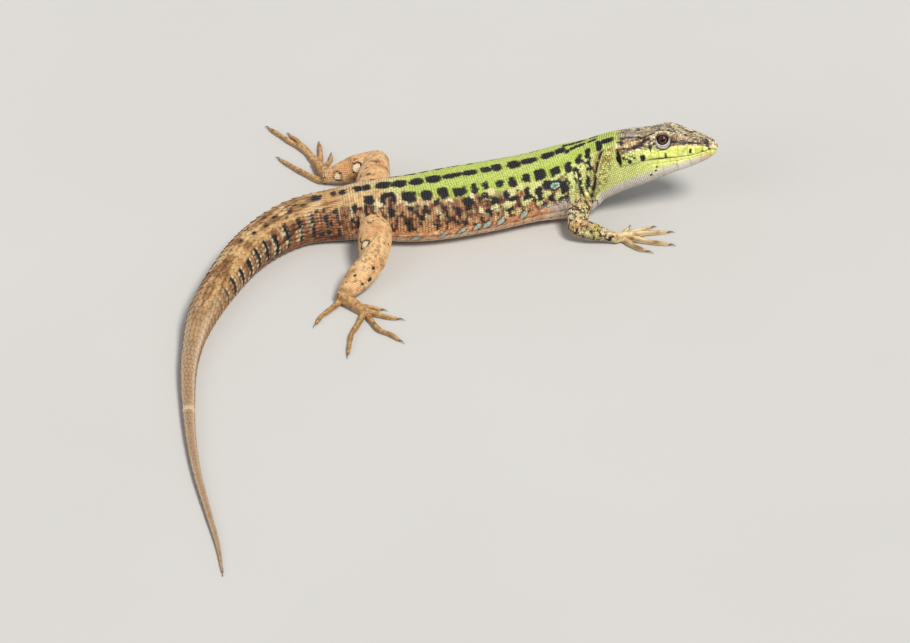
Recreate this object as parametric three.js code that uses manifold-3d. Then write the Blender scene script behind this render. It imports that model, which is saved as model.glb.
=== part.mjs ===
// Wall lizard, a life-size still model that lies on a flat floor.
// The trunk rests on its belly, the head is raised and the tail swings round to the animal's right.
// Millimetres, +Z up. +X is the way the trunk points and +Y is the animal's left.
import * as THREE from "three";
import { mergeVertices } from "three/addons/utils/BufferGeometryUtils.js";
import Module from "manifold-3d";

const wasm = await Module();
wasm.setup();

// ---- driving dimensions ----

const seam = 0.3; // clear space between neighbouring pieces
const standAt = new THREE.Vector2(2.27, -0.29); // centres the box on the origin

// The spine seen from above, about every 13 mm from the snout to the tip of the tail.
const spinePlan = [
  [62.2, 25.6],
  [50.2, 30.9],
  [37.5, 33.9],
  [25, 33.9],
  [12, 33.4],
  [-1, 33.4],
  [-13, 35.9],
  [-25, 36.5],
  [-36, 30.3],
  [-45.3, 19.6],
  [-52.6, 8],
  [-57.6, -4.5],
  [-60.8, -17.8],
  [-63.1, -31],
  [-64.5, -44],
  [-65.1, -57],
  [-65.6, -68],
  [-66.8, -78.5],
];

// Head, neck and trunk, by distance behind the snout:
// [distance, half width, top above the axis, bottom below the axis, axis above the floor].
const trunkGirth = [
  [0, 0.7, 0.8, 0.7, 16.8], // tip of the snout
  [0.8, 1.8, 1.7, 1.7, 16.95],
  [3, 2.8, 2.7, 2.9, 16.8], // nostrils
  [6, 3.7, 3.8, 3.9, 16.2],
  [10, 4.8, 5.0, 4.8, 15.1], // eyes
  [13, 5.5, 5.2, 5.4, 14.3],
  [17, 6.0, 5.7, 6.2, 13.3], // cheeks
  [21, 6.0, 6.0, 6.6, 12.2], // ears
  [26, 5.9, 6.2, 7.4, 10.5], // collar
  [31, 6.9, 6.6, 9.5, 9.1], // shoulders
  [40, 7.2, 6.7, 7.6, 7.7],
  [50, 7.9, 7.0, 7.0, 6.85],
  [60, 8.0, 6.9, 6.9, 6.6], // fullest part of the belly
  [69, 7.1, 6.5, 6.5, 6.3],
  [76, 6.1, 5.8, 6.0, 5.85], // hips
];

// The tail, by distance behind the snout: [distance, radius].
const tailTaper = [
  [84, 5.2],
  [98, 4.5],
  [114, 3.8],
  [128, 3.1],
  [138, 2.2],
  [157, 1.5],
  [180, 1.05],
  [200, 0.75],
  [218, 0.35],
];
const tailHeight = 0.94; // axis above the floor as a share of the radius: the underside lies flat

// Power of the section's curve: 2 is an ellipse, and the head adds to it above and below.
const squareness = { trunk: 2.15, crown: 1.25, chin: 0.25 };

// The crown leans to the left by these degrees, and the neck twists from one distance to the other.
const lean = { degrees: 21, from: 38, to: 19 };

// Each length of the body: where it ends behind the snout, and its facets round and along it.
const lengths = {
  head: { ends: 22.4, sides: 20, steps: 13 },
  neck: { ends: 30, sides: 20, steps: 4 },
  chest: { ends: 46, sides: 20, steps: 6 },
  belly: { ends: 69, sides: 20, steps: 6 },
  hips: { ends: 83, sides: 20, steps: 5 },
};
const tailParts = { count: 7, thickCount: 3, thickSides: 14, thinSides: 10, steps: 5 };
const snoutEase = 1.6; // packs the head's facets toward the snout

// The ridge over each eye: its distance behind the snout, degrees from the crown, spreads and height.
const brow = { at: 9.6, angle: 38, long: 3.2, wide: 22, high: 0.95 };
const eye = { at: 10.1, side: 3.4, up: 3.2, radius: 1.3 };
// The ear is a pit with a drum inside: half sizes up, along and into the head.
const ear = { at: 19.9, up: 1.5, high: 1.7, along: 0.65, deep: 1.1, proud: 0.2 };
const drum = { share: 0.62, sunk: 0.5, thick: 0.26 };
const mouth = { corner: 14.4, cornerUp: -0.6, tipUp: -0.6, throat: 17, jawDeep: 3.4 };
// The slab that parts the jaw from the head reaches past the head by these amounts.
const jawSlab = { front: -2, deep: -12, wide: 9, steps: 6 };

// Joints of each leg as [x, y, height] in the plan of the spine: at the body, at the knee or elbow,
// at the ankle or wrist and at the heads of the toes, then the plan of each toe from its root.
const hindRight = {
  base: [-9.6, 31.5, 6.2],
  bend: [-13.4, 18.0, 5.0],
  ankle: [-21.4, 11.8, 1.7],
  heads: [-17.9, 6.6, 0.9],
  toes: [
    [[-18.3, 8.3], [-16.2, 8.0], [-14.4, 7.2]],
    [[-17.5, 7.0], [-14.4, 4.4], [-11.6, 3.1]],
    [[-17.6, 6.3], [-16.5, 0.2], [-14.3, -2.5], [-13.0, -4.5]],
    [[-18.1, 6.1], [-20.0, 2.8], [-22.2, -0.6], [-23.4, -4.0], [-24.4, -6.9]],
    [[-21.9, 11.4], [-24.5, 9.2], [-27.0, 7.1], [-28.4, 5.3]],
  ],
};
const hindLeft = {
  base: [-9.6, 38.0, 6.2],
  bend: [-4.7, 52.8, 5.6],
  ankle: [-14.8, 55.2, 1.8],
  heads: [-15.6, 61.6, 0.9],
  toes: [
    [[-14.6, 59.8], [-12.6, 62.3], [-11.9, 64.6]],
    [[-15.0, 61.4], [-14.0, 65.4], [-13.4, 69.2]],
    [[-15.4, 62.0], [-16.4, 67.0], [-17.6, 71.0], [-18.6, 73.8]],
    [[-15.7, 62.0], [-17.0, 67.4], [-19.3, 71.4], [-21.0, 74.6], [-22.3, 77.3]],
    [[-16.0, 55.2], [-18.2, 58.2], [-20.6, 61.8], [-22.6, 65.6]],
  ],
};
const foreRight = {
  base: [34.6, 31.0, 8.2],
  bend: [31.4, 23.0, 3.4],
  ankle: [39.2, 20.3, 1.4],
  heads: [42.0, 21.1, 0.8],
  toes: [
    [[41.4, 21.9], [43.0, 24.4]],
    [[42.0, 21.7], [45.0, 22.7], [47.4, 23.5]],
    [[42.3, 21.3], [46.6, 21.5], [50.5, 21.2]],
    [[42.1, 20.7], [45.6, 18.5], [49.7, 16.8]],
    [[41.0, 20.1], [42.8, 17.0], [44.7, 15.5]],
  ],
};
const trunkLine = 33.4; // y of the middle of the chest
const foreLeft = mirrored(foreRight);

// Radii of each kind of leg from its root: [share of the way, radius].
const hindRadii = {
  upper: [[0, 3.3], [0.5, 3.6], [1, 2.7]],
  lower: [[0, 2.6], [0.4, 2.85], [0.75, 2.2], [1, 1.45]],
  sole: [[0, 1.4], [1, 1.15]],
};
const foreRadii = {
  upper: [[0, 2.6], [0.5, 2.5], [1, 1.9]],
  lower: [[0, 1.9], [0.35, 2.0], [0.8, 1.3], [1, 1.1]],
  sole: [[0, 1.15], [1, 1.0]],
};
const domeReach = 0.8; // how far a domed end stands out, in radii
const toe = { root: 0.62, tip: 0.36, knuckle: 0.16, rootUp: 0.85, midUp: 0.68, tipUp: 0.4 };
const claw = { long: 1.35, thick: 0.29, arch: 0.22, crest: 0.45, point: 0.06 };

const finish = {
  crown: look("#7d6a4c", 0.55),
  jaw: look("#b4bd4a", 0.55),
  neck: look("#8f9f3a", 0.55),
  back: look("#8da33c", 0.55),
  flank: look("#a2653a", 0.6),
  tail: look("#b0845a", 0.6),
  leg: look("#b28a5c", 0.6),
  eye: look("#3a1d12", 0.12),
  ear: look("#1d1712", 0.5),
  claw: look("#2b211a", 0.4),
};

// ---- helpers ----

function look(color, roughness) {
  return new THREE.MeshStandardMaterial({ color, roughness, metalness: 0 });
}

// The same leg on the other side of the chest.
function mirrored(leg) {
  const flip = ([x, y, ...rest]) => [x, 2 * trunkLine - y, ...rest];
  return {
    base: flip(leg.base),
    bend: flip(leg.bend),
    ankle: flip(leg.ankle),
    heads: flip(leg.heads),
    toes: leg.toes.map((path) => path.map(flip)),
  };
}

// Smooth value at a distance from rows of [distance, value, ...]: a cubic through the rows.
function along(rows, distance, column = 1) {
  const last = rows.length - 1;
  if (distance <= rows[0][0]) return rows[0][column];
  if (distance >= rows[last][0]) return rows[last][column];
  const i = rows.findIndex((row, n) => distance < rows[n + 1][0]);
  const slope = (n) => {
    const before = rows[Math.max(n - 1, 0)];
    const after = rows[Math.min(n + 1, last)];
    return (after[column] - before[column]) / (after[0] - before[0]);
  };
  const span = rows[i + 1][0] - rows[i][0];
  const t = (distance - rows[i][0]) / span;
  const s = 1 - t;
  return (
    rows[i][column] * s * s * (1 + 2 * t) +
    rows[i + 1][column] * t * t * (3 - 2 * t) +
    span * t * s * (slope(i) * s - slope(i + 1) * t)
  );
}

// A closed skin over rings of points that all have the same count, with a point at each end.
function skinOver(rings, firstPole, lastPole) {
  const count = rings[0].length;
  const points = [firstPole, ...rings.flat(), lastPole];
  const faces = [];
  const last = points.length - 1;
  for (let k = 0; k < count; k++) {
    const next = (k + 1) % count;
    faces.push(0, 1 + next, 1 + k);
    for (let r = 0; r < rings.length - 1; r++) {
      const a = 1 + r * count;
      const b = a + count;
      faces.push(a + k, a + next, b + k, a + next, b + next, b + k);
    }
    faces.push(last, last - count + k, last - count + next);
  }
  const geometry = new THREE.BufferGeometry().setFromPoints(points);
  geometry.setIndex(faces);
  return solid(geometry);
}

// A three.js geometry as a solid that can be joined and cut.
function solid(geometry) {
  const bare = geometry.clone();
  bare.deleteAttribute("normal");
  bare.deleteAttribute("uv");
  const merged = mergeVertices(bare, 1e-4);
  return new wasm.Manifold(
    new wasm.Mesh({
      numProp: 3,
      vertProperties: merged.attributes.position.array,
      triVerts: new Uint32Array(merged.index.array),
    }),
  );
}

// The largest body of a solid that a cut left in several.
function biggest(shape) {
  return shape.decompose().reduce((most, one) => (one.volume() > most.volume() ? one : most));
}

// A named mesh of the largest body of a solid, with a finish of its own.
function node(name, shape, material) {
  const made = biggest(shape).getMesh();
  const geometry = new THREE.BufferGeometry();
  geometry.setAttribute("position", new THREE.BufferAttribute(made.vertProperties, 3));
  geometry.setIndex(new THREE.BufferAttribute(made.triVerts, 1));
  geometry.computeVertexNormals();
  const mesh = new THREE.Mesh(geometry, material.clone());
  mesh.name = name;
  return mesh;
}

// ---- the body's surface ----

const plan = new THREE.CatmullRomCurve3(
  spinePlan.map(([x, y]) => new THREE.Vector3(x, y, 0)),
  false,
  "catmullrom",
  0.5,
);
plan.arcLengthDivisions = 2000;
const bodyLength = plan.getLength();

const bodyGirth = [
  ...trunkGirth,
  ...tailTaper.map(([at, radius]) => [at, radius, radius, radius, radius * tailHeight]),
];

function spineAt(distance) {
  const point = plan.getPointAt(THREE.MathUtils.clamp(distance / bodyLength, 0, 1));
  point.z = along(bodyGirth, distance, 4);
  return point;
}

// The spine's own axes at a distance behind the snout: back along it, to the left and up.
function axesAt(distance) {
  const step = 0.4;
  const back = spineAt(Math.min(distance + step, bodyLength))
    .sub(spineAt(Math.max(distance - step, 0)))
    .normalize();
  const left = new THREE.Vector3(0, 0, -1).cross(back).normalize();
  const up = left.clone().cross(back).normalize();
  const roll = THREE.MathUtils.degToRad(lean.degrees) *
    THREE.MathUtils.smoothstep(-distance, -lean.from, -lean.to);
  left.applyAxisAngle(back, roll);
  up.applyAxisAngle(back, roll);
  return { origin: spineAt(distance), back, left, up };
}

function placeOnSpine(distance, side, up) {
  const axes = axesAt(distance);
  return axes.origin.addScaledVector(axes.left, side).addScaledVector(axes.up, up);
}

const bell = (x) => Math.exp(-x * x);

// How far the ridge over the eye stands out, by distance and by degrees from the crown.
function browHeight(distance, fromCrown) {
  const alongBrow = bell((distance - brow.at) / brow.long);
  return brow.high * alongBrow * bell((fromCrown - brow.angle) / brow.wide);
}

// Half width, height and squareness of the section above or below the axis. The head is the squarest.
function sectionAt(distance, above) {
  const headness = THREE.MathUtils.smoothstep(-distance, -27, -10);
  return {
    half: along(bodyGirth, distance, 1),
    tall: along(bodyGirth, distance, above ? 2 : 3),
    power: squareness.trunk + (above ? squareness.crown : squareness.chin) * headness,
  };
}

// Half width of the body at a height over its axis.
function halfWidthAt(distance, up) {
  const { half, tall, power } = sectionAt(distance, up > 0);
  return half * (1 - Math.abs(up / tall) ** power) ** (1 / power);
}

// One point of the body's outline. Turn 0 is the crown and a quarter turn is the left side.
function outline(distance, turn, grow) {
  const angle = turn * 2 * Math.PI;
  const across = Math.sin(angle);
  const upward = Math.cos(angle);
  const { half, tall, power } = sectionAt(distance, upward > 0);
  const fromCrown = Math.min(turn, 1 - turn) * 360;
  const extra = grow + browHeight(distance, fromCrown);
  const side = Math.sign(across) * Math.abs(across) ** (2 / power) * half + across * extra;
  const up = Math.sign(upward) * Math.abs(upward) ** (2 / power) * tall + upward * extra;
  const point = placeOnSpine(distance, side, up);
  point.z = Math.max(point.z, 0);
  return point;
}

// The body between two distances behind the snout, with flat ends, or a rounded one at the snout.
// A side of each ring faces straight down, so that the underside has a flat to lie on.
function bodyLoft(from, to, { sides, steps, grow = 0 }) {
  const rings = [];
  for (let i = 0; i <= steps; i++) {
    const share = (i / steps) ** (from === 0 ? snoutEase : 1);
    const distance = from + (to - from) * share;
    const ring = [];
    for (let k = 0; k < sides; k++) ring.push(outline(distance, (k + 0.5) / sides, grow));
    rings.push(ring);
  }
  const pole = (distance) => placeOnSpine(distance, 0, 0);
  return skinOver(rings, pole(from), pole(to));
}

// ---- legs ----

const plainLimb = { sides: 12, steps: 4, grow: 0, knuckles: 0, domes: [0.9, 0.5] };

// A round tapered limb along a path of points, with domed ends, no lower than the floor.
function limb(points, radii, detail = {}) {
  const { sides, steps, grow, knuckles, domes } = { ...plainLimb, ...detail };
  const path = new THREE.CatmullRomCurve3(points, false, "catmullrom", 0.5);
  const frames = path.computeFrenetFrames(steps, false);
  const rings = [];
  const addRing = (centre, index, radius) => {
    const ring = [];
    for (let k = 0; k < sides; k++) {
      const angle = (k / sides) * 2 * Math.PI;
      const point = centre.clone();
      point.addScaledVector(frames.normals[index], radius * Math.cos(angle));
      point.addScaledVector(frames.binormals[index], radius * Math.sin(angle));
      point.z = Math.max(point.z, 0);
      ring.push(point);
    }
    rings.push(ring);
  };
  const radiusAt = (share) => {
    const swell = knuckles ? toe.knuckle * Math.sin(share * knuckles * Math.PI) ** 2 : 0;
    return along(radii, share) * (1 + swell) + grow;
  };
  const start = path.getPointAt(0);
  const end = path.getPointAt(1);
  const first = radiusAt(0);
  const final = radiusAt(1);
  for (const dome of domes) {
    const centre = start.clone().addScaledVector(frames.tangents[0], -first * dome * domeReach);
    addRing(centre, 0, first * Math.sqrt(1 - dome * dome));
  }
  for (let i = 0; i <= steps; i++) addRing(path.getPointAt(i / steps), i, radiusAt(i / steps));
  for (const dome of [...domes].reverse()) {
    const centre = end.clone().addScaledVector(frames.tangents[steps], final * dome * domeReach);
    addRing(centre, steps, final * Math.sqrt(1 - dome * dome));
  }
  const firstPole = start.clone().addScaledVector(frames.tangents[0], -first * domeReach);
  const lastPole = end.clone().addScaledVector(frames.tangents[steps], final * domeReach);
  firstPole.z = Math.max(firstPole.z, 0);
  lastPole.z = Math.max(lastPole.z, 0);
  return skinOver(rings, firstPole, lastPole);
}

const vector = ([x, y, z]) => new THREE.Vector3(x, y, z);

function between(a, b) {
  return vector(a).lerp(vector(b), 0.5);
}

// The path of one toe, arched a little off the floor and down on its last joint.
function toePath(path) {
  return path.map(([x, y], i) => {
    const inner = i < path.length - 1 ? toe.midUp : toe.tipUp;
    return new THREE.Vector3(x, y, i === 0 ? toe.rootUp : inner);
  });
}

function toeSolid(path, grow = 0) {
  const joints = path.length - 1;
  const radii = [[0, toe.root], [1, toe.tip]];
  const detail = { sides: 6, steps: joints + 2, grow, knuckles: joints, domes: [0.7] };
  return limb(toePath(path), radii, detail);
}

// A claw past the end of a toe: a thin cone that arches over and comes down to a blunt point.
function clawSolid(path) {
  const points = toePath(path);
  const end = points[points.length - 1];
  const heading = end.clone().sub(points[points.length - 2]);
  heading.z = 0;
  heading.normalize();
  const root = end.clone().addScaledVector(heading, toe.tip * domeReach + seam / 2);
  const crest = root.clone().addScaledVector(heading, claw.long * claw.crest);
  crest.z = root.z + claw.arch;
  const tip = root.clone().addScaledVector(heading, claw.long);
  tip.z = claw.point * 2;
  const radii = [[0, claw.thick], [claw.crest, claw.thick * 0.8], [1, claw.point]];
  return limb([root, crest, tip], radii, { sides: 5, steps: 3, domes: [0.6] });
}

function legNodes(name, leg, radii, trunkNear) {
  const upperPath = [vector(leg.base), between(leg.base, leg.bend), vector(leg.bend)];
  const lowerPath = [vector(leg.bend), between(leg.bend, leg.ankle), vector(leg.ankle)];
  const solePath = [vector(leg.ankle), between(leg.ankle, leg.heads), vector(leg.heads)];
  const soleWide = (grow) => limb(solePath, radii.sole, { sides: 8, steps: 2, grow, domes: [0.7] });
  let foot = soleWide(0);
  for (const path of leg.toes) foot = foot.add(toeSolid(path));
  const lowerWide = (grow) => limb(lowerPath, radii.lower, { sides: 10, grow });
  let lower = lowerWide(0);
  lower = lower.subtract(soleWide(seam));
  for (const path of leg.toes) lower = lower.subtract(toeSolid(path, seam));
  let upper = limb(upperPath, radii.upper);
  upper = upper.subtract(lowerWide(seam));
  upper = upper.subtract(trunkNear);
  const group = new THREE.Group();
  group.add(node(name + "_upper", upper, finish.leg));
  group.add(node(name + "_lower", lower, finish.leg));
  group.add(node(name + "_foot", foot, finish.leg));
  leg.toes.forEach((path, i) => {
    group.add(node(name + "_claw_" + (i + 1), clawSolid(path), finish.claw));
  });
  return group;
}

// ---- head ----

// A slab across the head below the line of the mouth, in the head's own axes.
function belowMouth(grow) {
  const rings = [];
  for (let i = 0; i <= jawSlab.steps; i++) {
    const distance = THREE.MathUtils.lerp(jawSlab.front, mouth.corner, i / jawSlab.steps);
    rings.push(slabRing(distance, mouthLine(distance) + grow));
  }
  rings.push(slabRing(mouth.throat + grow, mouth.cornerUp - mouth.jawDeep + grow));
  return skinOver(rings, slabMiddle(rings[0]), slabMiddle(rings[rings.length - 1]));
}

function slabRing(distance, top) {
  return [
    headPoint(distance, jawSlab.wide, jawSlab.deep),
    headPoint(distance, -jawSlab.wide, jawSlab.deep),
    headPoint(distance, -jawSlab.wide, top),
    headPoint(distance, jawSlab.wide, top),
  ];
}

function slabMiddle(ring) {
  return ring.reduce((sum, p) => sum.add(p), new THREE.Vector3()).multiplyScalar(1 / ring.length);
}

// A point in the straight axes of the head, which are those of the spine at the eyes.
function headPoint(distance, side, up) {
  const axes = axesAt(eye.at);
  return axes.origin
    .addScaledVector(axes.back, distance - eye.at)
    .addScaledVector(axes.left, side)
    .addScaledVector(axes.up, up);
}

// Height of the mouth over the head's axis, which changes evenly from the snout to the corner.
function mouthLine(distance) {
  const share = THREE.MathUtils.clamp(distance / mouth.corner, 0, 1);
  return THREE.MathUtils.lerp(mouth.tipUp, mouth.cornerUp, share);
}

const evenly = (radius) => [radius, radius, radius];

// An egg with half sizes along, across and up.
function ball(centre, halfSizes, facets = [12, 8]) {
  const shape = new THREE.SphereGeometry(1, ...facets);
  shape.scale(...halfSizes);
  shape.translate(centre.x, centre.y, centre.z);
  return solid(shape);
}

function headNodes() {
  const group = new THREE.Group();
  let head = bodyLoft(0, lengths.head.ends - seam / 2, lengths.head);
  const jaw = head.intersect(belowMouth(-seam / 2));
  head = head.subtract(belowMouth(seam / 2));
  for (const [word, side] of [["left", 1], ["right", -1]]) {
    const centre = placeOnSpine(eye.at, side * eye.side, eye.up);
    head = head.subtract(ball(centre, evenly(eye.radius + seam)));
    group.add(node("eye_" + word, ball(centre, evenly(eye.radius)), finish.eye));
    const out = halfWidthAt(ear.at, ear.up) + ear.proud;
    const pit = placeOnSpine(ear.at, side * out, ear.up);
    head = head.subtract(ball(pit, [ear.along, ear.deep, ear.high]));
    const inner = placeOnSpine(ear.at, side * (out - ear.deep * drum.sunk), ear.up);
    const drumSize = [ear.along * drum.share, drum.thick, ear.high * drum.share];
    group.add(node("ear_" + word, ball(inner, drumSize, [10, 6]), finish.ear));
  }
  group.add(node("head", head, finish.crown));
  group.add(node("jaw", jaw, finish.jaw));
  return group;
}

// ---- assembly ----

const lizard = new THREE.Group();
lizard.add(headNodes());

function stretch(name, from, to, material, facets) {
  lizard.add(node(name, bodyLoft(from + seam / 2, to - seam / 2, facets), material));
}

stretch("neck", lengths.head.ends, lengths.neck.ends, finish.neck, lengths.neck);
stretch("chest", lengths.neck.ends, lengths.chest.ends, finish.back, lengths.chest);
stretch("belly", lengths.chest.ends, lengths.belly.ends, finish.flank, lengths.belly);
stretch("hips", lengths.belly.ends, lengths.hips.ends, finish.flank, lengths.hips);
const tailPart = (bodyLength - lengths.hips.ends) / tailParts.count;
for (let i = 0; i < tailParts.count; i++) {
  const from = lengths.hips.ends + i * tailPart;
  const sides = i < tailParts.thickCount ? tailParts.thickSides : tailParts.thinSides;
  stretch("tail_" + (i + 1), from, from + tailPart, finish.tail, { sides, steps: tailParts.steps });
}

// The trunk grown by the seam, near the shoulders and near the hips.
const chestClear = bodyLoft(24, 44, { sides: 20, steps: 7, grow: seam });
const hipsClear = bodyLoft(64, 90, { sides: 20, steps: 9, grow: seam });
lizard.add(legNodes("foreleg_right", foreRight, foreRadii, chestClear));
lizard.add(legNodes("foreleg_left", foreLeft, foreRadii, chestClear));
lizard.add(legNodes("hindleg_right", hindRight, hindRadii, hipsClear));
lizard.add(legNodes("hindleg_left", hindLeft, hindRadii, hipsClear));
lizard.position.set(standAt.x, standAt.y, 0);

export default lizard;
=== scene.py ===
# Wall lizard: one skin over the flesh, mesh scales over the skin, eyes, lids and claws of their own.
# Shapes are worked out in millimetres along the spine and the legs, and become metres in makeMesh.
import math

import bpy
import numpy as np
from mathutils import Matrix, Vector
from mathutils.bvhtree import BVHTree
from mathutils.kdtree import KDTree


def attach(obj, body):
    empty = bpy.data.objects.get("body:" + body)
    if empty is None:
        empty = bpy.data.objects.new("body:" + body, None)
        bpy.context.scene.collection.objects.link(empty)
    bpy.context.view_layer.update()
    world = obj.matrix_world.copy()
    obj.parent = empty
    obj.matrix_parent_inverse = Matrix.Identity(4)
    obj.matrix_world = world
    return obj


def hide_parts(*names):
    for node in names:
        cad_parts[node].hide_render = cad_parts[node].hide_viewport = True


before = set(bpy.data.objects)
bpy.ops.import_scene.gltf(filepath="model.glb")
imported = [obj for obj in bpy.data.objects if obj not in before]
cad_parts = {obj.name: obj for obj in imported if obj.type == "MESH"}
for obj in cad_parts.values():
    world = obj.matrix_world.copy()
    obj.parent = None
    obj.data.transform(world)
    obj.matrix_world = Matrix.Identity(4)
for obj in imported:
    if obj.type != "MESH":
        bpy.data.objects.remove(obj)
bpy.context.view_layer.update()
mm = 0.001

# Body plan, as in the solids
body = {
    "standAt": (2.27, -0.29),  # where the plan of the spine is moved to
    "spinePlan": [
        (62.2, 25.6), (50.2, 30.9), (37.5, 33.9), (25, 33.9), (12, 33.4), (-1, 33.4), (-13, 35.9),
        (-25, 36.5), (-36, 30.3), (-45.3, 19.6), (-52.6, 8), (-57.6, -4.5), (-60.8, -17.8),
        (-63.1, -31), (-64.5, -44), (-65.1, -57), (-65.6, -68), (-66.8, -78.5),
    ],
    # distance behind the snout, half width, rise over the axis, drop under it, height of the axis
    "girth": [
        (0, 0.7, 0.8, 0.7, 16.8), (0.8, 1.8, 1.7, 1.7, 16.95), (3, 2.8, 2.7, 2.9, 16.8),
        (6, 3.7, 3.8, 3.9, 16.2), (10, 4.8, 5.0, 4.8, 15.1), (13, 5.5, 5.2, 5.4, 14.3),
        (17, 6.0, 5.7, 6.2, 13.3), (21, 6.0, 6.0, 6.6, 12.2), (26, 5.9, 6.2, 7.4, 10.5),
        (31, 6.9, 6.6, 9.5, 9.1), (40, 7.2, 6.7, 7.6, 7.7), (50, 7.9, 7.0, 7.0, 6.85),
        (60, 8.0, 6.9, 6.9, 6.6), (69, 7.1, 6.5, 6.5, 6.3), (76, 6.1, 5.8, 6.0, 5.85),
    ],
    "tail": [(84, 5.2), (98, 4.5), (114, 3.8), (128, 3.1), (138, 2.2), (157, 1.5), (180, 1.05),
             (200, 0.75), (218, 0.35)],
    "tailHeight": 0.94,
    "trunkPower": 2.15, "crownPower": 1.25, "chinPower": 0.25,  # squareness of the sections
    "leanDegrees": 21, "leanFrom": 38, "leanTo": 19,
    "coatDepth": 0.2,  # the skin lies this far inside the solids
}
brow = {"at": 9.6, "angle": 38, "long": 3.2, "wide": 22, "high": 0.95}
eye = {"at": 10.1, "side": 3.4, "up": 3.2}
ear = {"at": 19.9, "up": 1.5, "high": 2.0, "along": 0.52, "deep": 1.2}
mouth = {"corner": 14.4,  # and degrees from the crown to the mouth's edge at each distance
         "line": [(0, 88), (1.2, 90), (3, 99), (5, 102), (7, 100), (9.5, 95.5), (12.8, 92), (15, 91)]}
nostril = {"at": 2.1, "degrees": 56}


def along(rows, distance, column=1):  # a smooth value between rows of (distance, value, ...)
    table = np.array(rows, float)
    at, value = table[:, 0], table[:, column]
    rise, run = np.diff(value), np.diff(at)
    slope = np.r_[rise[0] / run[0], (value[2:] - value[:-2]) / (at[2:] - at[:-2]), rise[-1] / run[-1]]
    d = np.clip(distance, at[0], at[-1])
    i = np.clip(np.searchsorted(at, d, "right") - 1, 0, len(at) - 2)
    t = (d - at[i]) / run[i]
    s = 1 - t
    return (value[i] * s * s * (1 + 2 * t) + value[i + 1] * t * t * (3 - 2 * t)
            + run[i] * t * s * (slope[i] * s - slope[i + 1] * t))


def ease(x, low, high):  # 0 below low, 1 above high, smooth between
    t = np.clip((x - low) / (high - low), 0, 1)
    return t * t * (3 - 2 * t)


def fade(x, low, high):  # 1 below low, 0 above high
    return 1 - ease(x, low, high)


def bell(x):
    return np.exp(-np.square(x))


def hump(x, middle, wide):  # 1 at the middle, less on both sides
    return bell((x - middle) / wide)


def unit(v):
    return v / np.linalg.norm(v, axis=-1, keepdims=True)


def smoothCurve(points, step):  # Catmull-Rom through the points, sampled evenly by length
    p = np.array(points, float)
    p = np.vstack([2 * p[0] - p[1], p, 2 * p[-1] - p[-2]])
    pieces = len(p) - 3
    t = np.linspace(0, pieces - 1e-9, 400 * pieces)
    i = t.astype(int)
    f = (t - i)[:, None]
    a, b, c, d = p[i], p[i + 1], p[i + 2], p[i + 3]
    q = 0.5 * (2 * b + (c - a) * f + (2 * a - 5 * b + 4 * c - d) * f**2 + (3 * b - a - 3 * c + d) * f**3)
    length = np.r_[0, np.cumsum(np.linalg.norm(np.diff(q, axis=0), axis=1))]
    at = np.linspace(0, length[-1], max(3, int(length[-1] / step) + 1))
    return at, np.stack([np.interp(at, length, q[:, k]) for k in range(q.shape[1])], 1)


def grainNoise(points, size, seed=0):  # smooth random values from 0 to 1 in blobs of that size
    q = np.asarray(points, float) / size + 1000.0
    cell = np.floor(q).astype(np.int64)
    f = q - cell
    f = f * f * (3 - 2 * f)
    total = np.zeros(len(q))
    for corner in np.ndindex(2, 2, 2):
        c = cell + np.array(corner)
        h = (c[:, 0] * 73856093) ^ (c[:, 1] * 19349663) ^ (c[:, 2] * 83492791) ^ (seed * 40503 + 977)
        h = ((h ^ (h >> 13)) * 1274126177) & 0x7FFFFFFF
        h = (h ^ (h >> 15)) & 0xFFFF
        total += np.prod(np.where(corner, f, 1 - f), axis=1) * h / 65535
    return total


girthRows = body["girth"] + [(at, r, r, r, r * body["tailHeight"]) for at, r in body["tail"]]
spineAt, spinePlan = smoothCurve(body["spinePlan"], 0.1)
bodyLength = spineAt[-1]
spineLine = np.c_[spinePlan + np.array(body["standAt"]), along(girthRows, spineAt, 4)]


def onSpine(line, distance):
    return np.stack([np.interp(distance, spineAt, line[:, k]) for k in range(3)], -1)


def spineAxes():  # along the spine: back, left and up, with the head's lean
    back = unit(onSpine(spineLine, spineAt + 0.4) - onSpine(spineLine, spineAt - 0.4))
    left = unit(np.cross([0, 0, -1], back))
    up = np.cross(left, back)
    lean = np.radians(body["leanDegrees"]) * ease(-spineAt, -body["leanFrom"], -body["leanTo"])
    c, s = np.cos(lean)[:, None], np.sin(lean)[:, None]
    return back, left * c + np.cross(back, left) * s, up * c + np.cross(back, up) * s


backLine, leftLine, upLine = spineAxes()


def offSpine(distance, side, rise):  # a point by the spine's own axes there
    side, rise = (np.asarray(v, float)[..., None] for v in (side, rise))
    middle = onSpine(spineLine, distance)
    return middle + onSpine(leftLine, distance) * side + onSpine(upLine, distance) * rise


def sectionAt(distance, above):  # half width, height and squareness of the section
    headness = ease(-distance, -27, -10)
    tall = np.where(above, along(girthRows, distance, 2), along(girthRows, distance, 3))
    power = body["trunkPower"] + np.where(above, body["crownPower"], body["chinPower"]) * headness
    return along(girthRows, distance, 1), tall, power


def browHeight(distance, degrees):
    ridge = hump(distance, brow["at"], brow["long"])
    return brow["high"] * ridge * hump(np.abs(degrees), brow["angle"], brow["wide"])


def bodyPoint(distance, angle):  # on the skin: angle 0 is the crown and a quarter turn is the left side
    distance, angle = np.broadcast_arrays(np.asarray(distance, float), np.asarray(angle, float))
    across, upward = np.sin(angle), np.cos(angle)
    half, tall, power = sectionAt(distance, upward > 0)
    extra = browHeight(distance, np.degrees((angle + math.pi) % (2 * math.pi) - math.pi)) - body["coatDepth"]
    side = np.sign(across) * np.abs(across) ** (2 / power) * half + across * extra
    p = offSpine(distance, side, np.sign(upward) * np.abs(upward) ** (2 / power) * tall + upward * extra)
    p[..., 2] = np.maximum(p[..., 2], body["coatDepth"])
    return p


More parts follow.
